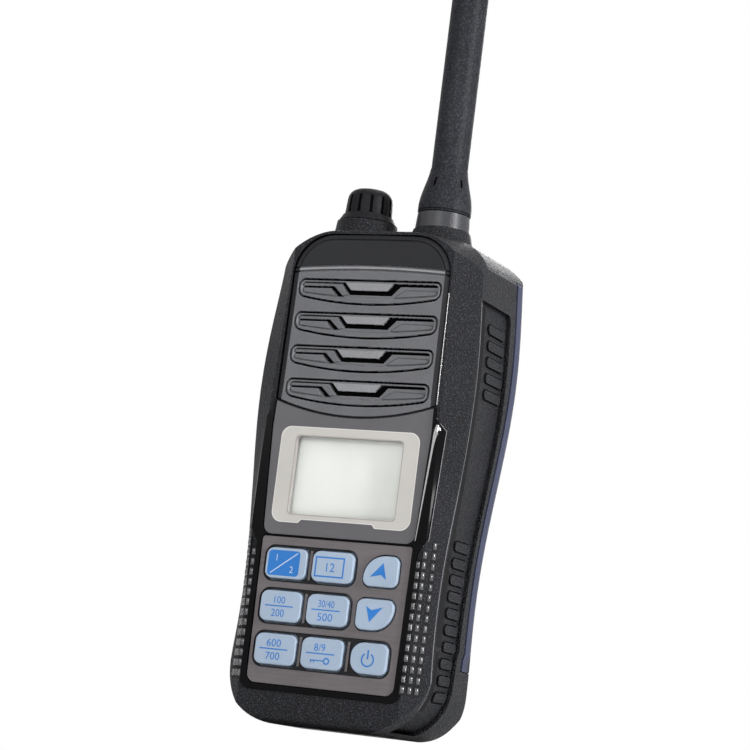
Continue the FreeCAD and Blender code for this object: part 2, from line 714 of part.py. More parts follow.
def lcd_glass():
    return box(-lcd_half(), lcd_half(), lcd_start(), lcd_start() + lcd_thickness,
               window_foot_z - lcd_margin, window_top_z + lcd_margin)


def backlight():
    start = lcd_start() + lcd_thickness
    return box(-lcd_half(), lcd_half(), start, start + backlight_thickness,
               window_foot_z - lcd_margin, window_top_z + lcd_margin)


def lcd_frame():
    half, foot, top = frame_box(0.0)
    end = lcd_start() + lcd_thickness + backlight_thickness
    frame = box(-half, half, front_wall, end + 0.6, foot, top)
    room = box(-lcd_half() - fit_gap, lcd_half() + fit_gap, 0.0, end,
               window_foot_z - lcd_margin - fit_gap, window_top_z + lcd_margin + fit_gap)
    return frame.cut(room)


# ---- keys ----
def key_centre(column, row):
    return column * key_column_pitch, key_middle_row_z + row * key_row_pitch


def key_outline(column, row, grow):
    """Corners of one key: a rounded bar, or for an arrow key a bar with one corner swept round."""
    x, z = key_centre(column, row)
    left, right = x - key_width / 2, x + key_width / 2
    foot, top = z - key_height / 2, z + key_height / 2
    round_foot = round_top = near_foot = near_top = key_corner
    if column == 1 and row == 1:
        left, right, near_top = up_key_left, arrow_key_right, arrow_round
    if column == 1 and row == 0:
        left, right, round_foot = down_key_left, arrow_key_right, arrow_round
    if column == 1 and row == -1:
        left, right, near_foot, near_top = power_key_left, power_key_right, power_round, power_round
    return [(left - grow, foot - grow, near_foot + grow), (right + grow, foot - grow, round_foot + grow),
            (right + grow, top + grow, round_top + grow), (left - grow, top + grow, near_top + grow)]


def key_pocket(row):
    """Shallow recess that the keys of one row share; the two arrow keys stand outside it."""
    x, z = key_centre(-1, row)
    left = x - key_width / 2 - pocket_margin
    right = power_key_right + pocket_margin if row == -1 else key_width / 2 + pocket_margin
    foot, top = z - key_height / 2 - pocket_margin, z + key_height / 2 + pocket_margin
    radius = key_corner + pocket_margin
    return face_prism([(left, foot, radius), (right, foot, radius), (right, top, radius), (left, top, radius)],
                      -1.0, plate_set + pocket_depth)


def keypad_plate():
    plate = keypad_prism(0.0, plate_set, plate_back())
    holes = [face_prism(key_outline(column, row, key_clearance), -1.0, 10.0)
             for column in (-1, 0, 1) for row in (-1, 0, 1)]
    return plate.cut(holes + [key_pocket(row) for row in (-1, 0, 1)])


def key(column, row):
    back = plate_back() + key_flange_play
    cap = face_prism(key_outline(column, row, 0.0), -key_proud, back + 0.1)
    front_edges = [edge for edge in cap.Edges
                   if all(abs(v.Point.y - (front - key_proud)) < 1e-6 for v in edge.Vertexes)]
    cap = cap.makeFillet(0.35, front_edges)
    flange = face_prism(key_outline(column, row, key_flange), back, back + key_flange_thickness)
    return join([cap, flange])


def keypad_membrane():
    return keypad_prism(ledge + 0.3, front_wall - membrane_thickness, front_wall)


def keypad_board():
    board = keypad_prism(ledge - board_overlap, front_wall, front_wall + keypad_board_thickness)
    return board.cut([post(x, z, post_radius + fit_gap, 0, 20) for x, z in chassis_post_places()])


# ---- inside ----
def chassis_frame():
    plate = box(-chassis_half, chassis_half, chassis_depth, chassis_depth + chassis_thickness,
                chassis_foot_z, chassis_top_z)
    posts = []
    for x, z in chassis_post_places():
        posts.append(post(x, z, post_radius, front_wall, board_depth))
    frame = join([plate] + posts)
    holes = [post(x, z, screw_radius - 0.1, front_wall + 0.8, board_depth + 1.0) for x, z in chassis_post_places()]
    return frame.cut(holes)


def main_board():
    board = box(-board_half, board_half, board_depth, board_depth + board_thickness, chassis_foot_z, chassis_top_z)
    return board.cut([post(x, z, screw_radius + 0.1, board_depth - 1, board_depth + board_thickness + 1)
                      for x, z in chassis_post_places()])


def rf_shield():
    depth0 = board_depth - shield_depth
    can = box(-shield_half, shield_half, depth0, board_depth, shield_foot_z, shield_top_z)
    room = box(-shield_half + shield_metal, shield_half - shield_metal, depth0 + shield_metal, board_depth + 1,
               shield_foot_z + shield_metal, shield_top_z - shield_metal)
    return can.cut(room)


def board_screws():
    seat = board_depth + board_thickness
    return Part.makeCompound([
        post(x, z, screw_radius - 0.1, front_wall + 1.6, seat + 0.1).fuse(
            post(x, z, screw_head_radius, seat, seat + 1.0)).removeSplitter()
        for x, z in chassis_post_places()])


def case_screws():
    solids = []
    for x, z in case_screw_places():
        shank = post(x, z, screw_radius - 0.1, front_wall + 0.6, case_screw_depth + 0.1)
        head = post(x, z, screw_head_radius, case_screw_depth, case_screw_depth + screw_head)
        slot = box(x - 1.2, x + 1.2, case_screw_depth + 0.7, case_screw_depth + screw_head + 1, z - 0.25, z + 0.25)
        solids.append(shank.fuse(head).removeSplitter().cut(slot))
    return Part.makeCompound(solids)


def speaker_gasket():
    outer = post(0, speaker_z, speaker_radius, front_wall, front_wall + speaker_gasket_thickness)
    return outer.cut(post(0, speaker_z, speaker_radius - speaker_ring, 0, 20))


def speaker_basket():
    start = front_wall + speaker_gasket_thickness
    rim = post(0, speaker_z, speaker_radius, start, start + 1.4)
    bowl = Part.makeCone(speaker_radius - 1.0, magnet_radius + 1.0, speaker_basket_depth - 1.4,
                         vec(0, start + 1.4, speaker_z), FreeCAD.Vector(0, 1, 0))
    hollow = Part.makeCone(speaker_radius - 1.0 - speaker_metal, magnet_radius, speaker_basket_depth - speaker_metal,
                           vec(0, start, speaker_z), FreeCAD.Vector(0, 1, 0))
    basket = join([rim, bowl]).cut(hollow)
    return basket.cut(post(0, speaker_z, speaker_radius - speaker_ring, 0, start + 0.9))


def speaker_cone():
    start = front_wall + speaker_gasket_thickness
    radius = speaker_radius - speaker_ring - fit_gap
    skirt = Part.makeCone(radius, 5.0, 2.4, vec(0, start + 0.3, speaker_z), FreeCAD.Vector(0, 1, 0))
    hollow = Part.makeCone(radius - 0.5, 4.5, 2.4, vec(0, start, speaker_z), FreeCAD.Vector(0, 1, 0))
    rim = post(0, speaker_z, radius, start + 0.1, start + 0.4).cut(post(0, speaker_z, radius - 1.0, 0, 20))
    return join([skirt.cut(hollow), rim])


def speaker_magnet():
    start = front_wall + speaker_gasket_thickness + speaker_basket_depth
    return post(0, speaker_z, magnet_radius, start, start + magnet_depth)


def microphone():
    return post(mic_x, slot_first_z, mic_radius, front_wall + 0.8, front_wall + 0.8 + mic_length)


def mic_boot():
    boot = post(mic_x, slot_first_z, mic_radius + mic_boot_wall, front_wall, front_wall + 0.8 + mic_length)
    boot = boot.cut(post(mic_x, slot_first_z, mic_radius, front_wall + 0.8, 30))
    return boot.cut(post(mic_x, slot_first_z, mic_hole, 0, 30))


# ---- volume knob ----
def knob_foot():
    return body_height + knob_boss_height + knob_lift


def bushing_top():
    return body_height + knob_boss_height + seal_height + nut_height + 0.4


def volume_knob():
    z0 = knob_foot()
    skirt = taper(knob_x, knob_d, knob_skirt_radius, knob_radius + 0.3, z0, z0 + knob_skirt_height)
    grip = taper(knob_x, knob_d, knob_radius, knob_top_radius, z0, z0 + knob_height)
    rim = [edge for edge in grip.Edges
           if edge.Closed and abs(edge.Vertexes[0].Point.z - (z0 + knob_height)) < 1e-6]
    grip = grip.makeFillet(knob_shoulder, rim)
    flutes = []
    for index in range(knob_flutes):
        angle = 2 * math.pi * index / knob_flutes
        reach = knob_radius + knob_flute_radius - knob_flute_bite
        flutes.append(upright(knob_x + reach * math.cos(angle), knob_d + reach * math.sin(angle),
                              knob_flute_radius, z0 + knob_skirt_height + 0.4, z0 + knob_height + 1))
    knob = join([skirt, grip.cut(flutes)])
    room = upright(knob_x, knob_d, nut_radius + 0.3, z0 - 1, bushing_top() + 0.4)
    bore = upright(knob_x, knob_d, shaft_radius, z0, z0 + knob_height - 1.6)
    return knob.cut([room, bore])


def encoder_shaft():
    return upright(knob_x, knob_d, shaft_radius, body_height - wall - 3.0, knob_foot() + knob_height - 1.6)


def encoder_body():
    top = body_height - wall
    case = box(knob_x - encoder_half, knob_x + encoder_half, knob_d - encoder_half, knob_d + encoder_half,
               top - encoder_height, top)
    bushing = upright(knob_x, knob_d, bushing_radius, top - 0.1, bushing_top())
    return join([case, bushing]).cut(
        upright(knob_x, knob_d, shaft_radius + run_gap, body_height - wall - 3.0 - run_gap, bushing_top() + 1))


def knob_seal():
    z0 = body_height + knob_boss_height
    return upright(knob_x, knob_d, nut_radius, z0, z0 + seal_height).cut(
        upright(knob_x, knob_d, bushing_radius + run_gap, z0 - 1, z0 + 9))


def hexagon(x, d, radius, z0, z1):
    points = [vec(x + radius * math.cos(math.radians(60 * i)), d + radius * math.sin(math.radians(60 * i)), z0)
              for i in range(7)]
    return Part.Face(Part.makePolygon(points)).extrude(FreeCAD.Vector(0, 0, z1 - z0))


def encoder_nut():
    z0 = body_height + knob_boss_height + seal_height
    return hexagon(knob_x, knob_d, nut_radius, z0, z0 + nut_height).cut(
        upright(knob_x, knob_d, bushing_radius + run_gap, z0 - 1, z0 + 9))


# ---- antenna ----
def antenna_jack():
    top = body_height - wall
    flange = hexagon(antenna_x, antenna_d, jack_hex, top - jack_flange, top)
    barrel = upright(antenna_x, antenna_d, jack_radius, top - 5.0, body_height + jack_reach)
    return join([flange, barrel]).cut(
        upright(antenna_x, antenna_d, jack_bore, body_height - 3.0, body_height + jack_reach + 1))


def plug_top():
    return boot_foot_z + 4.0


def antenna_plug():
    """Threaded sleeve with a centre pin, turned with the whip."""
    body = upright(antenna_x, antenna_d, plug_radius, body_height + 0.3, plug_top())
    body = body.cut(upright(antenna_x, antenna_d, jack_radius + run_gap,
                            body_height - 1, body_height + jack_reach + 0.6))
    pin = upright(antenna_x, antenna_d, plug_pin_radius, body_height - 1.5, body_height + jack_reach + 0.8)
    return join([body, pin])


def antenna_ring():
    ring = taper(antenna_x, antenna_d, ring_radius, boot_radius, ring_foot_z, boot_foot_z - antenna_groove)
    groove = upright(antenna_x, antenna_d, ring_radius - antenna_seal_edge + run_gap,
                     ring_foot_z - 1, ring_foot_z + antenna_seal_height + run_gap)
    return ring.cut([upright(antenna_x, antenna_d, plug_radius, ring_foot_z - 1, boot_foot_z + 1), groove])


def antenna_seal():
    """Rubber ring in the foot of the antenna, pressed on the boss when the antenna is tight."""
    seal = upright(antenna_x, antenna_d, ring_radius - antenna_seal_edge, ring_foot_z, ring_foot_z + antenna_seal_height)
    return seal.cut(upright(antenna_x, antenna_d, plug_radius + run_gap, ring_foot_z - 1, ring_foot_z + 2))


def antenna_boot():
    low = upright(antenna_x, antenna_d, boot_radius - 0.5, boot_foot_z - antenna_groove, boot_foot_z)
    rise = boot_top_z - boot_foot_z
    points = [
        vec(antenna_x, antenna_d, boot_foot_z),
        vec(antenna_x + boot_radius, antenna_d, boot_foot_z),
        vec(antenna_x + boot_radius - 0.35, antenna_d, boot_foot_z + rise * 0.4),
        vec(antenna_x + whip_radius + 0.55, antenna_d, boot_foot_z + rise * 0.82),
        vec(antenna_x + whip_radius + 0.15, antenna_d, boot_top_z),
        vec(antenna_x, antenna_d, boot_top_z),
    ]
    side = Part.BSplineCurve()
    side.interpolate(points[1:5])
    wire = Part.Wire([
        Part.LineSegment(points[0], points[1]).toShape(),
        side.toShape(),
        Part.LineSegment(points[4], points[5]).toShape(),
        Part.LineSegment(points[5], points[0]).toShape(),
    ])
    turned = Part.Face(wire).revolve(points[0], FreeCAD.Vector(0, 0, 1), 360)
    boot = join([turned, low])
    core = upright(antenna_x, antenna_d, plug_radius, boot_foot_z - 1, plug_top())
    shaft = upright(antenna_x, antenna_d, coil_outer() + fit_gap, plug_top() - 0.1, boot_top_z + 1)
    return boot.cut([core, shaft])


def coil_outer():
    return coil_radius + coil_wire / 2


def antenna_coil():
    """Loading coil: a metal rod that carries evenly spaced turns."""
    z0 = plug_top()
    top = z0 + coil_turns * coil_pitch + coil_lead
    rod = coil_radius - coil_wire / 4
    rise = math.sqrt((coil_wire / 2) ** 2 - (coil_wire / 4) ** 2)

    def at(radius, z):
        return vec(antenna_x + radius, antenna_d, z)

    edges = [
        Part.makeLine(at(0, top), at(0, z0)),
        Part.makeLine(at(0, z0), at(coil_outer(), z0)),
        Part.makeLine(at(coil_outer(), z0), at(coil_outer(), z0 + coil_foot)),
        Part.makeLine(at(coil_outer(), z0 + coil_foot), at(rod, z0 + coil_foot)),
    ]
    foot = z0 + coil_foot
    for index in range(coil_turns):
        z = z0 + coil_lead + (index + 0.5) * coil_pitch
        edges.append(Part.makeLine(at(rod, foot), at(rod, z - rise)))
        edges.append(Part.Arc(at(rod, z - rise), at(coil_outer(), z), at(rod, z + rise)).toShape())
        foot = z + rise
    edges.append(Part.makeLine(at(rod, foot), at(rod, top)))
    edges.append(Part.makeLine(at(rod, top), at(0, top)))
    profile = Part.Face(Part.Wire(edges))
    return profile.revolve(vec(antenna_x, antenna_d, 0), FreeCAD.Vector(0, 0, 1), 360)


def antenna_whip():
    whip = upright(antenna_x, antenna_d, whip_radius, boot_top_z, antenna_top)
    rim = [edge for edge in whip.Edges
           if edge.Closed and abs(edge.Vertexes[0].Point.z - antenna_top) < 1e-6]
    whip = whip.makeFillet(1.2, rim)
    return whip.cut(upright(antenna_x, antenna_d, coil_outer() + fit_gap, boot_top_z - 1,
                            plug_top() + coil_turns * coil_pitch + coil_lead + fit_gap))


# ---- push-to-talk ----
def ptt_wall_x():
    return -(chest_half - wall)


def ptt_face_x():
    return -(chest_half + ptt_proud)


def ptt_button():
    inner = ptt_wall_x() - ptt_travel - 0.2
    button = ptt_prism(0.0, ptt_face_x(), inner)
    rim = [edge for edge in button.Edges if all(abs(v.Point.x - ptt_face_x()) < 1e-6 for v in edge.Vertexes)]
    button = button.makeFillet(ptt_edge, rim)
    grooves = []
    for index in range(ptt_groove_count):
        z = ptt_foot_z + ptt_groove_margin + index * ptt_groove_pitch
        grooves.append(box(ptt_face_x() - 1.0, ptt_face_x() + ptt_groove_depth,
                           ptt_near + 2.0, ptt_far - 2.0, z, z + 1.0))
    return button.cut(grooves)


def ptt_seal():
    zone = ptt_prism(1.2, -chest_half - 3.0, 0.0)
    sheet = envelope(wall).cut(envelope(wall + ptt_seal_thickness))
    return zone.common(sheet).common(box(-big, -bay_half - bay_wall - 0.2, 0, big, -big, big))


def ptt_switch():
    middle_z = (ptt_foot_z + ptt_top_z) / 2
    x1 = -bay_half - bay_wall
    centre = (ptt_near + ptt_far) / 2
    half = ptt_switch_size / 2
    case = box(x1 - ptt_switch_height, x1, centre - half, centre + half, middle_z - half, middle_z + half)
    return join([case, across(centre, middle_z, 1.4, x1 - ptt_switch_height - 0.3, x1 - 0.5)])


# ---- battery ----
def latch_depth():
    return waist_depth - latch_inset


def behind_seam(offset):
    return envelope(0.0).cut(ahead_of_seam(offset)).common(battery_zone())


def tray_block(grow, d0):
    return box(-bay_half + part_gap + grow, bay_half - part_gap - grow, d0 + grow, big / 4,
               bay_foot_z + part_gap + grow, bay_top_z - part_gap - grow)


def battery_tray():
    """Coloured tray: an edge that shows all round and a box that fills the bay."""
    edge = behind_seam(part_gap).common(ahead_of_seam(tray_edge))
    edge = edge.cut(ahead_of_seam(tray_shade).cut(envelope(tray_shade_depth)))
    block = tray_block(0.0, bay_floor + part_gap + contact_lift).common(ahead_of_seam(tray_edge))
    tray = join([edge, block])
    tray = tray.cut(tray_block(tray_wall, bay_floor + part_gap + contact_lift))
    pads = [box(x - contact_width / 2, x + contact_width / 2, 0.0, bay_floor + 20.0,
                contact_z, contact_z + contact_height).common(
                    box(-big, big, bay_floor, bay_floor + part_gap + contact_lift + tray_wall, -big, big))
            for x in (-contact_pitch, 0.0, contact_pitch)]
    pocket = box(-latch_half - part_gap, latch_half + part_gap, latch_depth() - part_gap, big / 4,
                 battery_foot_z - 1, latch_top_z + part_gap)
    holes = [post(0, z, screw_radius + fit_gap, belly_depth, big / 4) for z in clip_screw_levels()]
    return tray.cut(pads + [pocket] + holes)


def battery_cover():
    shell = behind_seam(tray_edge)
    hollow = envelope(cover_wall).common(tray_block(tray_wall, 0.0))
    shell = shell.cut(hollow)
    travel = latch_travel + part_gap
    slot = box(-stem_half - part_gap, stem_half + part_gap, 0, big / 4,
               stem_foot() - travel, stem_foot() + stem_height + part_gap)
    track = box(-latch_half - part_gap, latch_half + part_gap, 0, latch_depth() + latch_thickness + part_gap,
                battery_foot_z - 1, latch_top_z + part_gap)
    holes = [post(0, z, screw_radius + fit_gap, 0, big / 4) for z in clip_screw_levels()]
    return shell.cut([slot, track] + holes)


def battery_cells():
    """Two flat cells, one above the other, seated on the tray's floor."""
    d0 = bay_floor + part_gap + contact_lift + tray_wall
    half = bay_half - part_gap - tray_wall - 0.3
    low = box(-half, half, d0, foot_depth - cover_wall - 2.6, latch_top_z + 2.5, cell_split_z)
    high = box(-half, half, d0, belly_depth - cover_wall - 0.6, cell_split_z + cell_gap,
               bay_top_z - part_gap - tray_wall - 0.3)
    return Part.makeCompound([low, high])


def battery_contacts():
    d0 = bay_floor + part_gap + contact_lift
    return Part.makeCompound([
        box(x - contact_width / 2, x + contact_width / 2, d0, d0 + tray_wall, contact_z, contact_z + contact_height)
        for x in (-contact_pitch, 0.0, contact_pitch)])


def contact_springs():
    """Spring fingers that stand a little above the bay floor to meet the battery's pads."""
    return Part.makeCompound([
        box(x - contact_width / 2, x + contact_width / 2, bay_floor - bay_wall, bay_floor + part_gap,
            contact_z, contact_z + contact_height)
        for x in (-contact_pitch, 0.0, contact_pitch)])


def stem_foot():
    return thumb_foot_z + (thumb_height - stem_height) / 2


def battery_latch():
    """Sliding lock: tongue inside the pack, stem through the cover, thumb piece behind it."""
    foot = battery_foot_z + latch_foot_play
    tongue = box(-latch_half, latch_half, latch_depth(), latch_depth() + latch_thickness,
                 foot, latch_top_z - latch_foot_play)
    stem = box(-stem_half, stem_half, latch_depth() + 0.1, waist_depth + part_gap + 0.5,
               stem_foot(), stem_foot() + stem_height)
    back = waist_depth + part_gap
    thumb = box(-thumb_half, thumb_half, back, back + thumb_proud, thumb_foot_z, thumb_foot_z + thumb_height)
    edges = [edge for edge in thumb.Edges
             if all(abs(v.Point.y - (front + back + thumb_proud)) < 1e-6 for v in edge.Vertexes)]
    thumb = thumb.makeFillet(0.6, edges)
    ridges = [box(-thumb_half + 2, thumb_half - 2, back + thumb_proud - 0.4, big / 4, z, z + 0.7)
              for z in (thumb_foot_z + 2, thumb_foot_z + 3.7, thumb_foot_z + 5.4)]
    return join([tongue, stem, thumb]).cut(ridges)


# ---- belt clip ----
def clip_axis():
    return shoulder_depth - 0.4 + clip_axis_out


def clip_screw_levels():
    return [clip_z - clip_screw_reach, clip_z + clip_screw_reach]


def clip_mount():
    """Bracket with two ears, shaped to the curved back of the battery cover."""
    face = shoulder_depth + clip_base
    base = box(-clip_ear_half, clip_ear_half, shoulder_depth - 6.0, face, clip_z - clip_base_reach, clip_z + clip_base_reach)
    ears = []
    for side in (-1, 1):
        x0, x1 = sorted((side * clip_ear_half, side * (clip_ear_half - clip_ear_width)))
        ears.append(side_prism([
            (shoulder_depth - 6.0, clip_z - 4.5, 0.0), (clip_axis(), clip_z - clip_knuckle_radius - 0.6, 2.0),
            (clip_axis() + clip_knuckle_radius + 0.2, clip_z - 1.0, 0.8),
            (clip_axis() + clip_knuckle_radius + 0.2, clip_z + 1.0, 0.8),
            (clip_axis(), clip_z + clip_knuckle_radius + 0.6, 2.0), (shoulder_depth - 6.0, clip_z + 4.5, 0.0),
        ], x0, x1))
    mount = join([base] + ears).cut(envelope(0.0))
    cuts = [across(clip_axis(), clip_z, clip_pin_radius, -big / 2, big / 2)]
    for z in clip_screw_levels():
        cuts.append(post(0, z, screw_radius + fit_gap, 0, big / 4))
        cuts.append(post(0, z, screw_head_radius + 0.2, face - 0.9, big / 4))
    return mount.cut(cuts)


def clip_screws():
    """Two short screws that hold the bracket to the battery cover."""
    face = shoulder_depth + clip_base
    solids = []
    for z in clip_screw_levels():
        shank = post(0, z, screw_radius, shoulder_depth - cover_wall - 0.4, face - 0.8)
        head = post(0, z, screw_head_radius, face - 0.9, face - 0.1)
        solids.append(shank.fuse(head).removeSplitter())
    return Part.makeCompound(solids)


def clip_pin():
    return across(clip_axis(), clip_z, clip_pin_radius, -clip_ear_half, clip_ear_half)


def clip_spring():
    """Torsion spring round the pin, drawn as close turns."""
    turns = []
    count = int(2 * clip_spring_half / (clip_spring_wire * 1.15))
    for index in range(count):
        x = -clip_spring_half + clip_spring_wire * (0.5 + 1.15 * index)
        turns.append(Part.makeTorus(clip_pin_radius + 0.15 + clip_spring_wire / 2, clip_spring_wire / 2,
                                    vec(x, clip_axis(), clip_z), FreeCAD.Vector(1, 0, 0)))
    sleeve = across(clip_axis(), clip_z, clip_pin_radius + 0.45, -clip_spring_half, clip_spring_half).cut(
        across(clip_axis(), clip_z, clip_pin_radius + fit_gap, -big / 2, big / 2))
    return join([sleeve] + turns)


def belt_clip():
    """Long spring-loaded tongue with a short thumb lever above its hinge."""
    inner = clip_axis() - 0.4
    outer = inner + clip_thickness
    drop = shoulder_depth - belly_depth - 1.0
    tip = belly_depth + 0.9
    blade = side_prism([
        (inner, clip_z + clip_lever, 0.4), (inner, clip_z - 6.0, 30.0), (inner - drop, clip_foot_z + 4.0, 2.0),
        (tip, clip_foot_z + 2.0, 0.6), (tip, clip_foot_z, 0.6),
        (outer - drop, clip_foot_z, 1.6), (outer, clip_z - 6.0, 30.0), (outer, clip_z + clip_lever, 0.6),
    ], -clip_half, clip_half)
    ear = clip_ear_half - clip_ear_width - part_gap
    knuckles = [across(clip_axis(), clip_z, clip_knuckle_radius, -ear, -clip_spring_half - part_gap),
                across(clip_axis(), clip_z, clip_knuckle_radius, clip_spring_half + part_gap, ear)]
    blade = blade.common(box(-ear, ear, 0, big / 2, 0, big))
    room = across(clip_axis(), clip_z, clip_pin_radius + clip_spring_wire + 0.6,
                  -clip_spring_half - part_gap, clip_spring_half + part_gap)
    clip = join([blade.cut(room)] + knuckles)
    return clip.cut(across(clip_axis(), clip_z, clip_pin_radius + run_gap, -big / 2, big / 2))


# ---- write the pieces ----
pieces = {
    "front_shell": front_shell,
    "rear_shell": rear_shell,
    "main_gasket": main_gasket,
    "speaker_panel": speaker_panel,
    "front_trim": front_trim,
    "display_plate": display_plate,
    "display_lens": display_lens,
    "lcd_glass": lcd_glass,
    "backlight": backlight,
    "lcd_frame": lcd_frame,
    "keypad_plate": keypad_plate,
    "keypad_membrane": keypad_membrane,
    "keypad_board": keypad_board,
    "chassis_frame": chassis_frame,
    "main_board": main_board,
    "rf_shield": rf_shield,
    "board_screws": board_screws,
    "case_screws": case_screws,
    "speaker_gasket": speaker_gasket,
    "speaker_basket": speaker_basket,
    "speaker_cone": speaker_cone,
    "speaker_magnet": speaker_magnet,
    "microphone": microphone,
    "mic_boot": mic_boot,
    "volume_knob": volume_knob,
    "encoder_shaft": encoder_shaft,
    "encoder_body": encoder_body,
    "encoder_nut": encoder_nut,
    "knob_seal": knob_seal,
    "antenna_whip": antenna_whip,
    "antenna_boot": antenna_boot,
    "antenna_ring": antenna_ring,
    "antenna_plug": antenna_plug,
    "antenna_coil": antenna_coil,
    "antenna_seal": antenna_seal,
    "antenna_jack": antenna_jack,
    "ptt_button": ptt_button,
    "ptt_seal": ptt_seal,
    "ptt_switch": ptt_switch,
    "battery_tray": battery_tray,
    "battery_cover": battery_cover,
    "battery_cells": battery_cells,
    "battery_contacts": battery_contacts,
    "contact_springs": contact_springs,
    "battery_latch": battery_latch,
    "clip_mount": clip_mount,
    "belt_clip": belt_clip,
    "clip_pin": clip_pin,
    "clip_spring": clip_spring,
    "clip_screws": clip_screws,
}
key_names = {
    (-1, 1): "key_recall", (0, 1): "key_channel", (1, 1): "key_up",
    (-1, 0): "key_favourite", (0, 0): "key_volume", (1, 0): "key_down",
    (-1, -1): "key_scan", (0, -1): "key_lock", (1, -1): "key_power",
}

os.makedirs("parts", exist_ok=True)
for name, build in pieces.items():
    shape = build()
    shape.exportStep("parts/" + name + ".step")
    print(name, len(shape.Solids), shape.isValid(), round(shape.Volume, 1))
for (column, row), name in key_names.items():
    shape = key(column, row)
    shape.exportStep("parts/" + name + ".step")
    print(name, len(shape.Solids), shape.isValid(), round(shape.Volume, 1))
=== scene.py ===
import itertools
import json
import math

import bmesh
import bpy
import numpy as np
from mathutils import Matrix, Vector
from mathutils.bvhtree import BVHTree


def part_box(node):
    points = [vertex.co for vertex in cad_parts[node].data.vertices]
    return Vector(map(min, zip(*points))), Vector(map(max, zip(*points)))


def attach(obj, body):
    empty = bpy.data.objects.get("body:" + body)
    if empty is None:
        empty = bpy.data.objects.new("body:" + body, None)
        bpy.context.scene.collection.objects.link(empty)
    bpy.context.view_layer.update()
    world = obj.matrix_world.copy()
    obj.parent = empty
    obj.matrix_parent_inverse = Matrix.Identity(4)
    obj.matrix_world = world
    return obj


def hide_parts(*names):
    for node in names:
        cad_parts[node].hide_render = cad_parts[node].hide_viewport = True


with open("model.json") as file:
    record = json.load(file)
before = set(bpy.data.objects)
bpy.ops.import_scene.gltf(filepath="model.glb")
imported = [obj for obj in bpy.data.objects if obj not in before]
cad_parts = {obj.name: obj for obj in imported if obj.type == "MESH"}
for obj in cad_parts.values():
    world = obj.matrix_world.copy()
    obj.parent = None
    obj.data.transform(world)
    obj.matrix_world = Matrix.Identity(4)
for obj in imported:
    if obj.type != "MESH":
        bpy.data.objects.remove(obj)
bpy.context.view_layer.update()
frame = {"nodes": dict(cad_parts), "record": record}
cad = frame["nodes"]

mm = 0.001
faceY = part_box("front_shell")[0].y  # the flat front, from which depths are counted


# millimetres across, behind the flat front and up
def place(x, depth, z):
    return Vector((x * mm, faceY + depth * mm, z * mm))


# a shader node group with named inputs and outputs
class Group:
    def __init__(self, name, inputs, outputs):
        self.tree = bpy.data.node_groups.new(name, "ShaderNodeTree")
        kinds = {"f": "NodeSocketFloat", "v": "NodeSocketVector"}
        for label, kind, value in inputs:
            socket = self.tree.interface.new_socket(name=label, in_out="INPUT", socket_type=kinds[kind])
            socket.default_value = value
        for label, kind in outputs:
            self.tree.interface.new_socket(name=label, in_out="OUTPUT", socket_type=kinds[kind])
        self.entry = self.tree.nodes.new("NodeGroupInput")
        self.exit = self.tree.nodes.new("NodeGroupOutput")

    def given(self, label):
        return self.entry.outputs[label]

    def give(self, label, source):
        self.tree.links.new(source, self.exit.inputs[label])


def plug(tree, socket, value):
    if isinstance(value, bpy.types.NodeSocket):
        tree.links.new(value, socket)
    else:
        socket.default_value = value


def math2(tree, how, a, b, clamp=False):
    node = tree.nodes.new("ShaderNodeMath")
    node.operation = how
    node.use_clamp = clamp
    plug(tree, node.inputs[0], a)
    plug(tree, node.inputs[1], b)
    return node.outputs[0]


def blendColour(tree, factor, a, b):
    node = tree.nodes.new("ShaderNodeMix")
    node.data_type = "RGBA"
    plug(tree, node.inputs["Factor"], factor)
    plug(tree, node.inputs[6], a)
    plug(tree, node.inputs[7], b)
    return node.outputs[2]


def spread(tree, value, low, high, toLow=0.0, toHigh=1.0):
    node = tree.nodes.new("ShaderNodeMapRange")
    plug(tree, node.inputs["Value"], value)
    for label, number in (("From Min", low), ("From Max", high), ("To Min", toLow), ("To Max", toHigh)):
        plug(tree, node.inputs[label], number)
    return node.outputs["Result"]


def noise(tree, where, scale, detail, rough=0.5):
    node = tree.nodes.new("ShaderNodeTexNoise")
    plug(tree, node.inputs["Vector"], where)
    plug(tree, node.inputs["Scale"], scale)
    node.inputs["Detail"].default_value = detail
    node.inputs["Roughness"].default_value = rough
    return node.outputs["Fac"]


# moulded pebble grain: flat worn tops with fine creases between
def buildGrain():
    group = Group("pebbleGrain", [("Scale", "f", 1500.0), ("Fine", "f", 0.35)],
                  [("Height", "f"), ("Crease", "f")])
    tree = group.tree
    flat, deep, fineRatio = 0.15, 0.75, 2.3  # where a pebble's top ends and its crease begins; finer noise
    where = tree.nodes.new("ShaderNodeTexCoord").outputs["Object"]
    cell = tree.nodes.new("ShaderNodeTexVoronoi")
    cell.feature = "SMOOTH_F1"
    plug(tree, cell.inputs["Vector"], where)
    plug(tree, cell.inputs["Scale"], group.given("Scale"))
    cell.inputs["Smoothness"].default_value = 0.45
    dome = spread(tree, cell.outputs["Distance"], flat, deep, 1.0, 0.0)
    fine = noise(tree, where, math2(tree, "MULTIPLY", group.given("Scale"), fineRatio), 2.0)
    height = math2(tree, "ADD", dome, math2(tree, "MULTIPLY", fine, group.given("Fine")))
    group.give("Height", height)
    group.give("Crease", spread(tree, dome, 0.0, 0.5, 1.0, 0.0))
    return group.tree


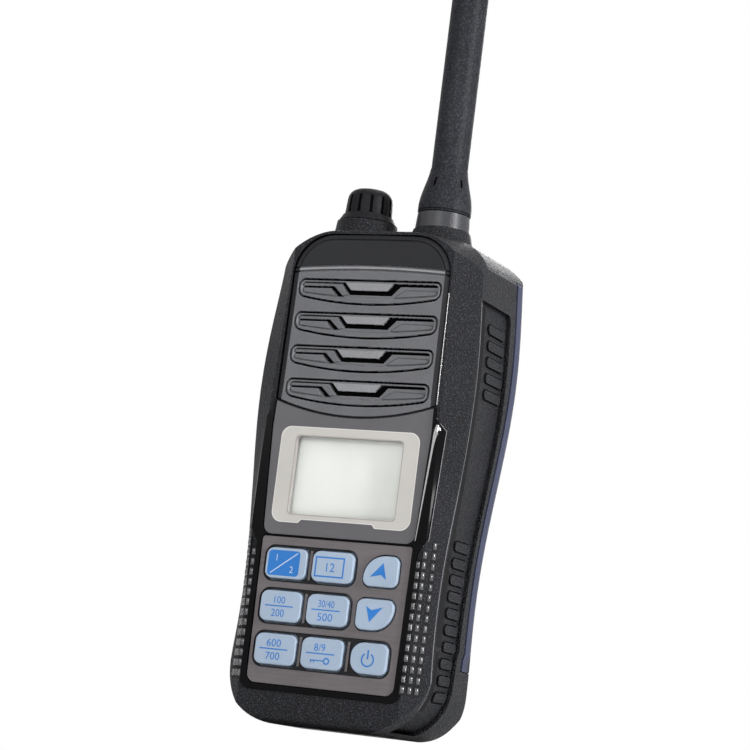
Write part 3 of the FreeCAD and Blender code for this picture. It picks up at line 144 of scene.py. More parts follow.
# edges lighter: rubbed by hands, and a painted edge highlight, broken up by a soft noise
def buildEdgeWearAndHighlight():
    group = Group("edgeWearAndHighlight", [("Radius", "f", 0.0006), ("Amount", "f", 1.0), ("Breakup", "f", 0.5)],
                  [("Mask", "f")])
    tree = group.tree
    unturned, turned, patchScale = 0.995, 0.86, 180.0  # cosines between the rounded and the plain normal
    where = tree.nodes.new("ShaderNodeTexCoord").outputs["Object"]
    bevel = tree.nodes.new("ShaderNodeBevel")
    bevel.samples = 4
    plug(tree, bevel.inputs["Radius"], group.given("Radius"))
    plain = tree.nodes.new("ShaderNodeNewGeometry").outputs["Normal"]
    dot = tree.nodes.new("ShaderNodeVectorMath")
    dot.operation = "DOT_PRODUCT"
    tree.links.new(bevel.outputs["Normal"], dot.inputs[0])
    tree.links.new(plain, dot.inputs[1])
    edge = spread(tree, dot.outputs["Value"], unturned, turned)
    patch = spread(tree, noise(tree, where, patchScale, 4.0), 0.35, 0.65)
    broken = math2(tree, "MULTIPLY", patch, group.given("Breakup"))
    edgeMark = math2(tree, "MULTIPLY", edge, math2(tree, "SUBTRACT", 1.0, broken))
    group.give("Mask", math2(tree, "MULTIPLY", edgeMark, group.given("Amount"), True))
    return group.tree


# thin dust on surfaces that face up, and faint smudges everywhere
def buildDust():
    group = Group("dustFilm", [("Settled", "f", 0.3), ("Smudge", "f", 0.3)],
                  [("Dust", "f"), ("Smear", "f")])
    tree = group.tree
    speckScale, smearScale = 900.0, 55.0
    where = tree.nodes.new("ShaderNodeTexCoord").outputs["Object"]
    split = tree.nodes.new("ShaderNodeSeparateXYZ")
    tree.links.new(tree.nodes.new("ShaderNodeNewGeometry").outputs["Normal"], split.inputs[0])
    up = spread(tree, split.outputs["Z"], 0.3, 1.0)
    speck = spread(tree, noise(tree, where, speckScale, 5.0, 0.65), 0.5, 0.75)
    fallen = math2(tree, "MULTIPLY", up, speck)
    group.give("Dust", math2(tree, "MULTIPLY", fallen, group.given("Settled"), True))
    smear = spread(tree, noise(tree, where, smearScale, 4.0, 0.6), 0.35, 0.7)
    group.give("Smear", math2(tree, "MULTIPLY", smear, group.given("Smudge"), True))
    return group.tree


# fine straight scratches across a brushed film
def buildBrushed():
    group = Group("brushedLines", [("Scale", "f", 4200.0)], [("Lines", "f")])
    tree = group.tree
    where = tree.nodes.new("ShaderNodeTexCoord").outputs["Object"]
    stretch = tree.nodes.new("ShaderNodeVectorMath")
    stretch.operation = "MULTIPLY"
    tree.links.new(where, stretch.inputs[0])
    stretch.inputs[1].default_value = (0.03, 1.0, 1.0)  # drawn out from left to right
    group.give("Lines", noise(tree, stretch.outputs[0], group.given("Scale"), 3.0, 0.6))
    return group.tree


# one where the surface lies between two distances along a direction, in metres
def buildZone():
    group = Group("slantedZone", [("Lean", "v", (0.0, 1.0, 0.0)), ("From", "f", 0.0), ("To", "f", 1.0),
                                  ("Soft", "f", 0.0001)], [("Inside", "f")])
    tree = group.tree
    where = tree.nodes.new("ShaderNodeTexCoord").outputs["Object"]
    along = tree.nodes.new("ShaderNodeVectorMath")
    along.operation = "DOT_PRODUCT"
    tree.links.new(where, along.inputs[0])
    tree.links.new(group.given("Lean"), along.inputs[1])
    above = math2(tree, "SUBTRACT", along.outputs["Value"], group.given("From"))
    below = math2(tree, "SUBTRACT", group.given("To"), along.outputs["Value"])
    low = math2(tree, "DIVIDE", above, group.given("Soft"), True)
    high = math2(tree, "DIVIDE", below, group.given("Soft"), True)
    group.give("Inside", math2(tree, "MULTIPLY", low, high))
    return group.tree


# painted shade: darker where walls stand close by, as in grooves and round raised ribs
def buildCrevice():
    group = Group("creviceShade", [("Reach", "f", 0.0016), ("Amount", "f", 0.6)], [("Shade", "f")])
    tree = group.tree
    near = tree.nodes.new("ShaderNodeAmbientOcclusion")
    near.samples = 6
    plug(tree, near.inputs["Distance"], group.given("Reach"))
    paintedShade = spread(tree, near.outputs["AO"], 0.45, 0.9, 1.0, 0.0)
    group.give("Shade", math2(tree, "MULTIPLY", paintedShade, group.given("Amount"), True))
    return group.tree


pebbleGrain = buildGrain()
creviceShade = buildCrevice()
edgeWearAndHighlight = buildEdgeWearAndHighlight()
dustFilm = buildDust()
brushedLines = buildBrushed()
slantedZone = buildZone()
print("node groups ready")


def useGroup(tree, group, **values):
    node = tree.nodes.new("ShaderNodeGroup")
    node.node_tree = group
    for label, value in values.items():
        plug(tree, node.inputs[label], value)
    return node.outputs


# a grey, with its tint towards blue
def grey(level, tint=0.0):
    return (level * (1 - tint * 0.4), level * (1 - tint * 0.2), level * (1 + tint), 1.0)


def tinted(colour, factor, extra=0.0):
    return tuple(min(1.0, c * factor + extra) for c in colour[:3]) + (1.0,)


# what every finish shares: tints are shares of its own colour
common = {
    "mottleScale": 70.0, "noiseLow": 0.3, "noiseHigh": 0.7, "smearRough": 0.18,
    "creaseShadeAmount": 0.35, "creaseShadeTint": 0.45, "topSheenFrom": 0.75, "topSheenTo": 1.15, "topSheenTint": 4.0,
    "scratchTint": 1.9, "scratchRough": 0.12,
    "edgeLightTint": 2.6, "edgeLightExtra": 0.01, "wornSmooth": 0.12,
    "creviceShadeTint": 0.12, "dustColour": (0.42, 0.4, 0.37, 1.0), "paintedShadeColour": (0.003, 0.003, 0.004, 1.0),
    "subsurfaceScale": 0.001,
}


# grainDepth is in millimetres; shade holds the inputs of a slantedZone that is painted near black as shade
def finishOf(name, colour, rough, specular=0.2, metal=0.0, grainScale=None, grainDepth=0.0, worn=0.0,
             edgeWearAndSheenColour=None, dust=0.0, smudge=0.25, mottle=0.12, alpha=1.0, subsurface=0.0, lines=0.0,
             tops=0.0, crevice=0.0, shade=None):
    k = common
    mat = bpy.data.materials.new(name)
    mat.use_nodes = True
    tree = mat.node_tree
    shader = tree.nodes["Principled BSDF"]
    where = tree.nodes.new("ShaderNodeTexCoord").outputs["Object"]
    patch = spread(tree, noise(tree, where, k["mottleScale"], 5.0), k["noiseLow"], k["noiseHigh"])
    base = blendColour(tree, patch, tinted(colour, 1 - mottle), tinted(colour, 1 + mottle))
    film = useGroup(tree, dustFilm, Settled=dust, Smudge=smudge)
    roughness = math2(tree, "ADD", rough, math2(tree, "MULTIPLY", film["Smear"], k["smearRough"]))
    height = None
    if grainScale:
        grain = useGroup(tree, pebbleGrain, Scale=grainScale)
        # painted shade: the grain's creases are coloured darker
        crease = math2(tree, "MULTIPLY", grain["Crease"], k["creaseShadeAmount"])
        base = blendColour(tree, crease, base, tinted(colour, k["creaseShadeTint"]))
        # grain tops painted lighter: worn tops and a painted highlight speckle
        if tops:
            grainTopSheen = spread(tree, grain["Height"], k["topSheenFrom"], k["topSheenTo"])
            lit = math2(tree, "MULTIPLY", grainTopSheen, tops)
            base = blendColour(tree, lit, base, tinted(colour, k["topSheenTint"]))
        height = grain["Height"]
    if lines:
        streak = useGroup(tree, brushedLines)["Lines"]
        scratch = spread(tree, streak, k["noiseLow"], k["noiseHigh"])
        drawn = math2(tree, "MULTIPLY", scratch, lines)
        base = blendColour(tree, drawn, base, tinted(colour, k["scratchTint"]))
        roughness = math2(tree, "ADD", roughness, math2(tree, "MULTIPLY", scratch, k["scratchRough"]))
        height = streak
    # edges painted lighter and smoother: partly wear, partly a painted edge highlight
    if worn:
        mask = useGroup(tree, edgeWearAndHighlight, Amount=worn)["Mask"]
        base = blendColour(tree, mask, base, edgeWearAndSheenColour or tinted(colour, k["edgeLightTint"], k["edgeLightExtra"]))
        roughness = math2(tree, "SUBTRACT", roughness, math2(tree, "MULTIPLY", mask, k["wornSmooth"]))
    if dust:
        base = blendColour(tree, film["Dust"], base, k["dustColour"])
    # painted shade in crevices: the colour darkens where walls stand close by
    if crevice:
        paintedShade = useGroup(tree, creviceShade, Amount=crevice)["Shade"]
        base = blendColour(tree, paintedShade, base, tinted(colour, k["creviceShadeTint"]))
    # painted shade: near black past the zone's depth
    if shade:
        base = blendColour(tree, useGroup(tree, slantedZone, **shade)["Inside"], base, k["paintedShadeColour"])
    plug(tree, shader.inputs["Base Color"], base)
    plug(tree, shader.inputs["Roughness"], roughness)
    shader.inputs["Metallic"].default_value = metal
    shader.inputs["Specular IOR Level"].default_value = specular
    shader.inputs["Alpha"].default_value = alpha
    if subsurface:
        shader.inputs["Subsurface Weight"].default_value = subsurface
        shader.inputs["Subsurface Scale"].default_value = k["subsurfaceScale"]
    if height is not None:
        bump = tree.nodes.new("ShaderNodeBump")
        bump.inputs["Strength"].default_value = 1.0
        bump.inputs["Distance"].default_value = grainDepth * mm
        plug(tree, bump.inputs["Height"], height)
        tree.links.new(bump.outputs["Normal"], shader.inputs["Normal"])
    return mat


# painted shade: key pockets and the slits round the plates lie deeper than this, and are painted near black
pocketShadeZone = dict(Lean=(0.0, 1.0, 0.0), From=faceY + 0.25 * mm, To=1.0, Soft=0.05 * mm)

finishes = {
    "housing": dict(colour=grey(0.013, 0.12), rough=0.42, specular=0.06, grainScale=1900, grainDepth=0.25,
                    worn=0.3, dust=0.05, smudge=0.3, tops=0.6, crevice=0.9),
    "panel": dict(colour=grey(0.085, 0.06), rough=0.42, specular=0.2, grainScale=3600, grainDepth=0.008,
                  worn=0.3, dust=0.05),
    "panelLight": dict(colour=grey(0.17, 0.04), rough=0.4, specular=0.25, grainScale=3600,
                       grainDepth=0.008),
    "bandGloss": dict(colour=grey(0.015, 0.1), rough=0.35, specular=0.06, mottle=0.05, smudge=0.5),
    "deepBlack": dict(colour=grey(0.002), rough=0.8, specular=0.0),
    "paintedHighlight": dict(colour=grey(0.3), rough=0.15, metal=0.8, mottle=0.05),
    "stud": dict(colour=grey(0.04, 0.06), rough=0.16, specular=0.55, mottle=0.5),
    "shadowSheet": dict(colour=grey(0.008, 0.06), rough=0.6, specular=0.05, mottle=0.3),
    "printWhite": dict(colour=(0.45, 0.44, 0.425, 1.0), rough=0.5, specular=0.1, mottle=0.03),
    "printBeige": dict(colour=(0.345, 0.335, 0.315, 1.0), rough=0.5, specular=0.1, mottle=0.04),
    "linerGrey": dict(colour=(0.26, 0.245, 0.235, 1.0), rough=0.6, specular=0.05, mottle=0.04),
    "legendBlue": dict(colour=(0.022, 0.12, 0.35, 1.0), rough=0.5, specular=0.1, mottle=0.1),
    "legendPale": dict(colour=(0.3, 0.38, 0.5, 1.0), rough=0.5, specular=0.1, mottle=0.05),
    "trimGloss": dict(colour=grey(0.003, 0.1), rough=0.14, specular=0.04, worn=0.1),
    "plate": dict(colour=(0.072, 0.07, 0.075, 1.0), rough=0.34, specular=0.15, smudge=0.5, mottle=0.08),
    "lens": dict(colour=(0.9, 0.92, 0.9, 1.0), rough=0.05, alpha=0.06),
    "lcd": dict(colour=(0.5, 0.515, 0.485, 1.0), rough=0.4, specular=0.1, mottle=0.02),
    "lightGuide": dict(colour=(0.8, 0.82, 0.8, 1.0), rough=0.3, mottle=0.02),
    "keypad": dict(colour=(0.078, 0.07, 0.073, 1.0), rough=0.42, specular=0.15, lines=0.3, grainDepth=0.006,
                   smudge=0.4, shade=pocketShadeZone),
    "keyCap": dict(colour=(0.235, 0.29, 0.365, 1.0), rough=0.45, specular=0.1, subsurface=0.1, mottle=0.05,
                   smudge=0.4),
    "silicone": dict(colour=grey(0.2), rough=0.6),
    "board": dict(colour=(0.02, 0.13, 0.05, 1.0), rough=0.35, mottle=0.3),
    "dieCast": dict(colour=grey(0.45), rough=0.45, metal=0.9, grainScale=1500, grainDepth=0.01),
    "canMetal": dict(colour=grey(0.6), rough=0.3, metal=1.0, mottle=0.08),
    "screwSteel": dict(colour=grey(0.35), rough=0.32, metal=1.0, worn=0.5, edgeWearAndSheenColour=(0.7, 0.7, 0.7, 1.0)),
    "springSteel": dict(colour=grey(0.55), rough=0.2, metal=1.0),
    "gold": dict(colour=(0.8, 0.58, 0.22, 1.0), rough=0.25, metal=1.0),
    "brass": dict(colour=(0.7, 0.55, 0.28, 1.0), rough=0.3, metal=1.0),
    "copper": dict(colour=(0.72, 0.36, 0.2, 1.0), rough=0.3, metal=1.0),
    "cone": dict(colour=grey(0.03), rough=0.8),
    "magnet": dict(colour=grey(0.3), rough=0.4, metal=0.8),
    "whip": dict(colour=grey(0.017, 0.14), rough=0.4, specular=0.04, grainScale=1500, grainDepth=0.03,
                 smudge=0.5, tops=0.3, crevice=0.5),
    "ringSatin": dict(colour=grey(0.03, 0.1), rough=0.34, specular=0.2, grainScale=2400, grainDepth=0.02),
    "knob": dict(colour=grey(0.009, 0.12), rough=0.4, specular=0.05, grainScale=1800, grainDepth=0.02,
                 worn=0.25, dust=0.05, crevice=0.9),
    "tray": dict(colour=(0.034, 0.038, 0.064, 1.0), rough=0.4, specular=0.06, grainScale=2200,
                 grainDepth=0.012, worn=0.2),
    "cell": dict(colour=(0.06, 0.12, 0.4, 1.0), rough=0.3),
    "clip": dict(colour=grey(0.014, 0.05), rough=0.42, specular=0.12, grainScale=1800, grainDepth=0.02,
                 worn=0.4, dust=0.05),
}
material = {name: finishOf(name, **settings) for name, settings in finishes.items()}

slotFinish = {
    "housing_black": "housing", "panel_satin": "panel", "trim_gloss": "trimGloss", "display_plate": "plate",
    "lens_clear": "lens", "lcd": "lcd", "light_guide": "lightGuide", "keypad_metal": "keypad",
    "key_cap": "keyCap", "key_cap_blue": "keyCap", "silicone": "silicone", "board": "board",
    "die_cast": "dieCast", "shield_metal": "canMetal", "screw_steel": "screwSteel",
    "spring_steel": "springSteel", "contact_gold": "gold", "connector_brass": "brass",
    "coil_copper": "copper", "speaker_paper": "cone", "magnet": "magnet", "antenna_rubber": "whip",
    "knob_rubber": "knob", "tray_blue": "tray", "cell_wrap": "cell", "clip_plastic": "clip",
}
nodeFinish = {"antenna_ring": "ringSatin"}
for part in frame["record"]["subparts"]:
    finish = material[nodeFinish.get(part["node"], slotFinish[part["material_slot"]])]
    for slot in cad[part["node"]].material_slots:
        slot.material = finish
print("materials ready:", len(material))


# the mesh that a curve or a text makes
def meshOf(curve):
    holder = bpy.data.objects.new("holder", curve)
    bpy.context.scene.collection.objects.link(holder)
    bpy.context.view_layer.update()
    mesh = bpy.data.meshes.new_from_object(holder.evaluated_get(bpy.context.evaluated_depsgraph_get()))
    bpy.data.objects.remove(holder)
    return mesh


def addPiece(name, mesh, body, slot, *finishes):
    mesh.name = name
    piece = bpy.data.objects.new(name, mesh)
    bpy.context.scene.collection.objects.link(piece)
    mesh.materials.clear()
    for finish in finishes:
        mesh.materials.append(material[finish])
    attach(piece, body)
    return piece


def gather(meshes):
    whole = bmesh.new()
    for mesh in meshes:
        whole.from_mesh(mesh)
    joined = bpy.data.meshes.new("joined")
    whole.to_mesh(joined)
    whole.free()
    return joined


def smooth(mesh, angle=60.0):
    mesh.shade_smooth()
    mesh.set_sharp_from_angle(angle=math.radians(angle))
    return mesh


# closed outline of (x, z, radius) corners
def rounded(corners, steps=8):
    points = []
    for i, (x, z, radius) in enumerate(corners):
        here = Vector((x, z))
        if radius <= 0:
            points.append(here)
            continue
        a = (Vector(corners[i - 1][:2]) - here).normalized()
        b = (Vector(corners[(i + 1) % len(corners)][:2]) - here).normalized()
        half = a.angle(b) / 2
        centre = here + (a + b).normalized() * radius / math.sin(half)
        start = here + a * radius / math.tan(half) - centre
        end = here + b * radius / math.tan(half) - centre
        first = math.atan2(start.y, start.x)
        sweep = (math.atan2(end.y, end.x) - first + math.pi) % (2 * math.pi) - math.pi
        for k in range(steps + 1):
            turn = first + sweep * k / steps
            points.append(centre + radius * Vector((math.cos(turn), math.sin(turn))))
    return points


def bar(left, right, foot, top, radius=0.0):
    return rounded([(left, foot, radius), (right, foot, radius), (right, top, radius), (left, top, radius)])


def disc(x, z, radius, steps=40, start=0.0, sweep=360.0):
    turns = [math.radians(start + sweep * k / steps) for k in range(steps if sweep == 360.0 else steps + 1)]
    return [Vector((x + radius * math.cos(t), z + radius * math.sin(t))) for t in turns]


# flat piece cut to closed outlines between two depths; inner outlines are holes
def slab(outlines, near, far):
    curve = bpy.data.curves.new("slab", "CURVE")
    curve.dimensions = "2D"
    curve.fill_mode = "BOTH"
    curve.extrude = (far - near) / 2 * mm
    for outline in outlines:
        spline = curve.splines.new("POLY")
        spline.points.add(len(outline) - 1)
        for point, corner in zip(spline.points, outline):
            point.co = (corner[0] * mm, corner[1] * mm, 0.0, 1.0)
        spline.use_cyclic_u = True
    mesh = meshOf(curve)
    mesh.transform(Matrix.Translation(place(0, (near + far) / 2, 0)) @ Matrix.Rotation(math.pi / 2, 4, "X"))
    return mesh


# raised plain numbers, centred on x and z
def lettering(text, x, z, height, near, far, squeeze):
    sizeForHeight = 1.38  # the font's size over the height of its numbers
    curve = bpy.data.curves.new("number", "FONT")
    curve.body = text
    curve.size = height * sizeForHeight * mm
    curve.align_x = "CENTER"
    curve.extrude = (far - near) / 2 * mm
    curve.resolution_u = 4
    mesh = meshOf(curve)
    mesh.transform(Matrix.Translation(place(x, (near + far) / 2, z - height / 2))
                   @ Matrix.Rotation(math.pi / 2, 4, "X") @ Matrix.Diagonal((squeeze, 1, 1, 1)))
    return mesh


# round bead along points given in metres
def bead(points, radius):
    curve = bpy.data.curves.new("bead", "CURVE")
    curve.dimensions = "3D"
    curve.bevel_depth = radius * mm
    curve.bevel_resolution = 3
    curve.use_fill_caps = True
    spline = curve.splines.new("POLY")
    spline.points.add(len(points) - 1)
    for point, spot in zip(spline.points, points):
        point.co = (*spot, 1.0)
    return meshOf(curve)


# thin turned band about an upright axis, from (radius, z) pairs that close on themselves
def turnedBand(profile, x, depth, steps=96):
    whole = bmesh.new()
    middle = place(x, depth, 0)
    columns = []
    for k in range(steps):
        turn = 2 * math.pi * k / steps
        spots = [Vector((radius * math.cos(turn), radius * math.sin(turn), z)) for radius, z in profile]
        columns.append([whole.verts.new(middle + spot * mm) for spot in spots])
    for here, after in zip(columns, columns[1:] + columns[:1]):
        for i in range(len(profile)):
            j = (i + 1) % len(profile)
            whole.faces.new((here[i], here[j], after[j], after[i]))
    bmesh.ops.recalc_face_normals(whole, faces=whole.faces)
    mesh = bpy.data.meshes.new("turned")
    whole.to_mesh(mesh)
    whole.free()
    return mesh


# the nodes' faces at rest, for finding places on them
def surfaceOf(*nodes):
    points = []
    faces = []
    for node in nodes:
        mesh = cad[node].data
        start = len(points)
        points += [v.co.copy() for v in mesh.vertices]
        faces += [tuple(start + i for i in p.vertices) for p in mesh.polygons]
    return BVHTree.FromPolygons(points, faces)


rayStart = {"front": 10.0, "side": 60.0, "axis": 50.0}  # millimetres away, outside the pieces


# place and normal where a line from the front first meets a surface
def fromFront(surface, x, z):
    return surface.ray_cast(place(x, -rayStart["front"], z), Vector((0, 1, 0)))[:2]


# the same from the right, side 1, or from the left, side -1
def fromSide(surface, side, depth, z):
    return surface.ray_cast(place(side * rayStart["side"], depth, z), Vector((-side, 0, 0)))[:2]


# directions out from an upright axis and across, at a turn in radians
def aroundAxis(turn):
    return Vector((math.cos(turn), math.sin(turn), 0)), Vector((-math.sin(turn), math.cos(turn), 0))


# place where a line towards an upright axis, or past it by an offset, first meets a surface
def towardsAxis(surface, axis, turn, z, offset=0.0):
    out, across = aroundAxis(turn)
    start = axis + Vector((0, 0, z * mm)) + out * rayStart["axis"] * mm + across * offset * mm
    return surface.ray_cast(start, -out)[0]


# mesh of closed bars: each is a run of cross sections with equally many points
def sectionMesh(bars):
    whole = bmesh.new()
    for sections in bars:
        rows = [[whole.verts.new(spot) for spot in section] for section in sections]
        count = len(rows[0])
        for a, b in zip(rows, rows[1:]):
            for i in range(count):
                j = (i + 1) % count
                whole.faces.new((a[i], a[j], b[j], b[i]))
        whole.faces.new(rows[0])
        whole.faces.new(rows[-1])
    bmesh.ops.recalc_face_normals(whole, faces=whole.faces)
    mesh = bpy.data.meshes.new("sections")
    whole.to_mesh(mesh)
    whole.free()
    return mesh


# the slotted panel; outlines in a slot are (x, z) from its middle, and faces deeper than "black" get a
# painted shadow black
speaker = {
    "half": 24.3, "halfTop": 23.9, "top": 137.0, "topDrop": 0.2, "corner": 11.4,
    "footSide": 89.7, "footMiddle": 85.5, "cell": 0.115, "thickness": 1.5, "rise": 0.2, "black": 0.8,
    "faceDepth": 0.03, "frameWidth": 1.5, "frameFall": 0.4, "edgeRound": 0.3,
    "grooveHalf": 0.14, "grooveDepth": 0.35,
    "slotLevels": [93.17, 102.68, 112.19, 121.7], "slotReach": 7.0,
    "slotHalf": 22.0, "slotTop": 2.4, "slotFootSide": -2.7, "slotFootMiddle": -4.9, "slotCorner": 1.9,
    "ringWidth": 0.5, "ringDepth": 1.0,
    "rim": 0.5, "innerFootSide": -1.7, "innerFootMiddle": -2.95, "innerCorner": 1.2,
    "floor": 0.5, "strip": 0.16, "leaf": 0.3, "sheetMargin": 0.25, "lineDepth": 0.35, "lineHalf": 0.1,
    "gapDepth": 1.46, "gapMargin": 0.1,
    "insertDepth": 0.04, "insertFall": 0.12, "insertTop": 1.2, "insertHigh": 2.0, "insertEdge": 0.02,
    "archZ": 128.2, "archDrop": 1.0, "archLines": [(-0.15, 0.32, 0.45), (-1.35, 0.42, 0.6)],
    "archCrest": -0.75, "crestHalf": 0.28,
    "finishes": ["panel", "bandGloss", "deepBlack", "panelLight"],
    "insert": [(-7.6, 1.4), (7.2, 1.4), (5.3, -0.75), (-5.6, -0.75)],
    "gapAcross": [(-20.6, 2.0), (-8.2, 1.9), (-7.6, 1.35), (-5.6, -0.8), (5.3, -0.8), (7.3, 1.35),
                  (7.8, 1.85), (20.6, 1.85), (20.6, 0.8), (9.4, 0.75), (6.9, -1.9), (-6.2, -1.9),
                  (-8.6, 1.25), (-20.6, 1.3)],
    "gapLeft": [(-20.6, -0.1), (-11.9, -0.1), (-9.6, -2.4), (-8.1, -2.4), (-11.0, 0.2), (-20.6, 0.15)],
    "leafLeft": [(-20.6, -0.1), (-11.9, -0.1), (-9.6, -3.4), (-20.6, -3.4)],
    "stripLeft": [(-20.6, 1.3), (-8.6, 1.25), (-6.2, -1.9), (-8.1, -2.4), (-11.0, 0.2), (-20.6, 0.15)],
    "leafRight": [(8.0, -2.3), (11.0, -0.3), (20.6, -0.4), (20.6, -3.4), (8.0, -3.4)],
}


# signed distance to a closed outline, less than nothing inside
def polygonDistance(x, z, corners):
    best = np.full(x.shape, 1e9)
    inside = np.zeros(x.shape, bool)
    for (ax, az), (bx, bz) in zip(corners, corners[1:] + corners[:1]):
        ex, ez = bx - ax, bz - az
        along = np.clip(((x - ax) * ex + (z - az) * ez) / (ex * ex + ez * ez), 0, 1)
        best = np.minimum(best, np.hypot(x - ax - along * ex, z - az - along * ez))
        crosses = (az > z) != (bz > z)
        where = ax + (z - az) * ex / (ez if ez else 1e-9)
        inside ^= crosses & (x < where)
    return np.where(inside, -best, best)


# distance to an outline with a straight top and a foot that bows down
def bowl(x, z, half, top, side, middle, corner):
    sag = side - middle
    radius = (half * half + sag * sag) / (2 * sag)
    limits = [z - top + corner, np.abs(x) - half + corner,
              np.hypot(x, z - middle - radius) - radius + corner]
    outer = np.sqrt(sum(np.maximum(q, 0) ** 2 for q in limits))
    return outer + np.minimum(np.maximum(np.maximum(limits[0], limits[1]), limits[2]), 0) - corner


# one inside an outline and nothing outside, over a short rise
def within(distance, rise):
    return np.clip(0.5 - distance / rise, 0, 1)


# sinks one speaker opening into the depths given, and marks its pale insert
def sinkSlot(x, z, depth, pale):
    k = speaker
    outer = bowl(x, z, k["slotHalf"], k["slotTop"], k["slotFootSide"], k["slotFootMiddle"],
                 k["slotCorner"])
    ring = np.abs(outer + k["ringWidth"] / 2) - k["ringWidth"] / 2
    depth += (k["ringDepth"] - depth) * within(ring, k["rise"])
    step = k["ringWidth"] + k["rim"]
    inner = bowl(x, z, k["slotHalf"] - step, k["slotTop"] - step, k["innerFootSide"],
                 k["innerFootMiddle"], k["innerCorner"])
    depth += (k["floor"] - depth) * within(inner, k["rise"])
    for name, level in (("stripLeft", "strip"), ("leafLeft", "leaf"), ("leafRight", "leaf")):
        sheet = np.maximum(polygonDistance(x, z, k[name]), inner + k["sheetMargin"])
        depth += (k[level] - depth) * within(sheet, k["rise"])
        outline = np.maximum(np.abs(sheet) - k["lineHalf"], inner)
        depth += k["lineDepth"] * within(outline, k["rise"])
    for name in ("gapAcross", "gapLeft"):
        hole = np.maximum(polygonDistance(x, z, k[name]), inner + k["gapMargin"])
        depth += (k["gapDepth"] - depth) * within(hole, k["rise"])
    cover = polygonDistance(x, z, k["insert"])
    slope = k["insertDepth"] + k["insertFall"] * np.clip((k["insertTop"] - z) / k["insertHigh"], 0, 1)
    depth += (slope - depth) * within(cover, k["rise"])
    pale |= cover < k["insertEdge"]
    return depth, pale


# the panel's grid across and up, with its top line and its half width at each height
def speakerGrid():
    k = speaker
    across = int(2 * k["half"] / k["cell"])
    upward = int((k["top"] - k["footMiddle"]) / k["cell"])
    u, v = np.meshgrid(np.linspace(-1, 1, across), np.linspace(0, 1, upward))
    low = k["footMiddle"] + (k["footSide"] - k["footMiddle"]) * u * u
    high = k["top"] - k["topDrop"] * u * u
    z = low + v * (high - low)
    lean = np.clip((z - k["footSide"]) / (k["top"] - k["footSide"]), 0, 1)
    half = k["half"] + (k["halfTop"] - k["half"]) * lean
    up = np.clip(z - high + k["corner"], 0, k["corner"])
    side = half - k["corner"] + np.sqrt(np.maximum(k["corner"] ** 2 - up ** 2, 0))
    return u * side, z, low, high, half


# distance in from the panel's sides and top
def speakerBorder(x, z, high, half):
    k = speaker
    cornerX = half - k["corner"]
    cornerZ = high - k["corner"]
    inCorner = (np.abs(x) > cornerX) & (z > cornerZ)
    curved = k["corner"] - np.hypot(np.abs(x) - cornerX, z - cornerZ)
    return np.where(inCorner, curved, np.minimum(half - np.abs(x), high - z))


# a grid of places as a sheet with a rim that goes back; also gives the number of faces in the rim
def rimmedSheet(name, x, depth, z, thickness):
    upward, across = x.shape
    count = across * upward
    points = np.stack([x * mm, faceY + depth * mm, z * mm], axis=-1).reshape(count, 3)
    index = np.arange(count).reshape(upward, across)
    corners = [index[:-1, :-1], index[:-1, 1:], index[1:, 1:], index[1:, :-1]]
    quads = np.stack(corners, axis=-1).reshape(-1, 4)
    rim = np.concatenate([index[0, :], index[1:, -1], index[-1, -2::-1], index[-2:0:-1, 0]])
    back = points[rim].copy()
    back[:, 1] = faceY + thickness * mm
    behind = count + np.arange(len(rim))
    ring = np.stack([np.roll(rim, -1), rim, behind, np.roll(behind, -1)], axis=-1)
    mesh = bpy.data.meshes.new(name)
    mesh.from_pydata(np.concatenate([points, back]).tolist(), [], quads.tolist() + ring.tolist())
    return mesh, len(ring)


def buildSpeakerPanel():
    k = speaker
    x, z, low, high, half = speakerGrid()
    depth = np.zeros(x.shape)
    pale = np.zeros(x.shape, bool)
    for level in k["slotLevels"]:
        rows = np.abs(z - level) < k["slotReach"]
        depth[rows], pale[rows] = sinkSlot(x[rows], z[rows] - level, depth[rows], pale[rows])
    arch = k["archZ"] - k["archDrop"] * (x / k["half"]) ** 2
    for drop, width, sink in k["archLines"]:
        line = np.abs(z - arch - drop) - width / 2
        depth = np.maximum(depth, sink * within(line, k["rise"]))
    # painted highlight: a pale line along the crest under the band
    crestHighlight = np.abs(z - arch - k["archCrest"]) < k["crestHalf"]
    border = speakerBorder(x, z, high, half)
    framed = border < k["frameWidth"]
    depth += k["frameFall"] * np.clip(1 - border / k["frameWidth"], 0, 1)
    groove = np.abs(border - k["frameWidth"]) - k["grooveHalf"]
    depth += np.where(z > arch, k["grooveDepth"] * within(groove, k["rise"]), 0.0)
    fall = np.clip(1 - np.minimum(border, z - low) / k["edgeRound"], 0, 1)
    depth += k["edgeRound"] * (1 - np.sqrt(np.maximum(1 - fall ** 2, 0)))
    depth += k["faceDepth"]
    mesh, rimFaces = rimmedSheet("speakerFace", x, depth, z, k["thickness"])
    panel = addPiece("speakerFace", smooth(mesh), "radio", "panel_satin", *k["finishes"])
    plain, gloss, black, light = range(4)  # their places in the list of finishes
    kinds = np.where((z > arch) | framed, gloss, plain)
    # the pale inserts take their own lighter tone; the crest takes it as a painted highlight
    kinds[pale | (crestHighlight & ~framed)] = light
    # painted shade: the deepest faces are coloured near black
    kinds[depth > k["black"]] = black
    order = np.concatenate([kinds[:-1, :-1].ravel(), np.full(rimFaces, gloss)])
    mesh.polygons.foreach_set("material_index", order)
    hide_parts("speaker_panel")


buildSpeakerPanel()
print("speaker panel ready")


# painted highlight: a bright metallic bead along the shell's edge right of the panel, on the right side only
panelEdgeHighlight = {"half": 24.78, "halfTop": 24.45, "foot": 90.0, "top": 121.0, "radius": 0.16, "depth": 0.1,
             "steps": 20}


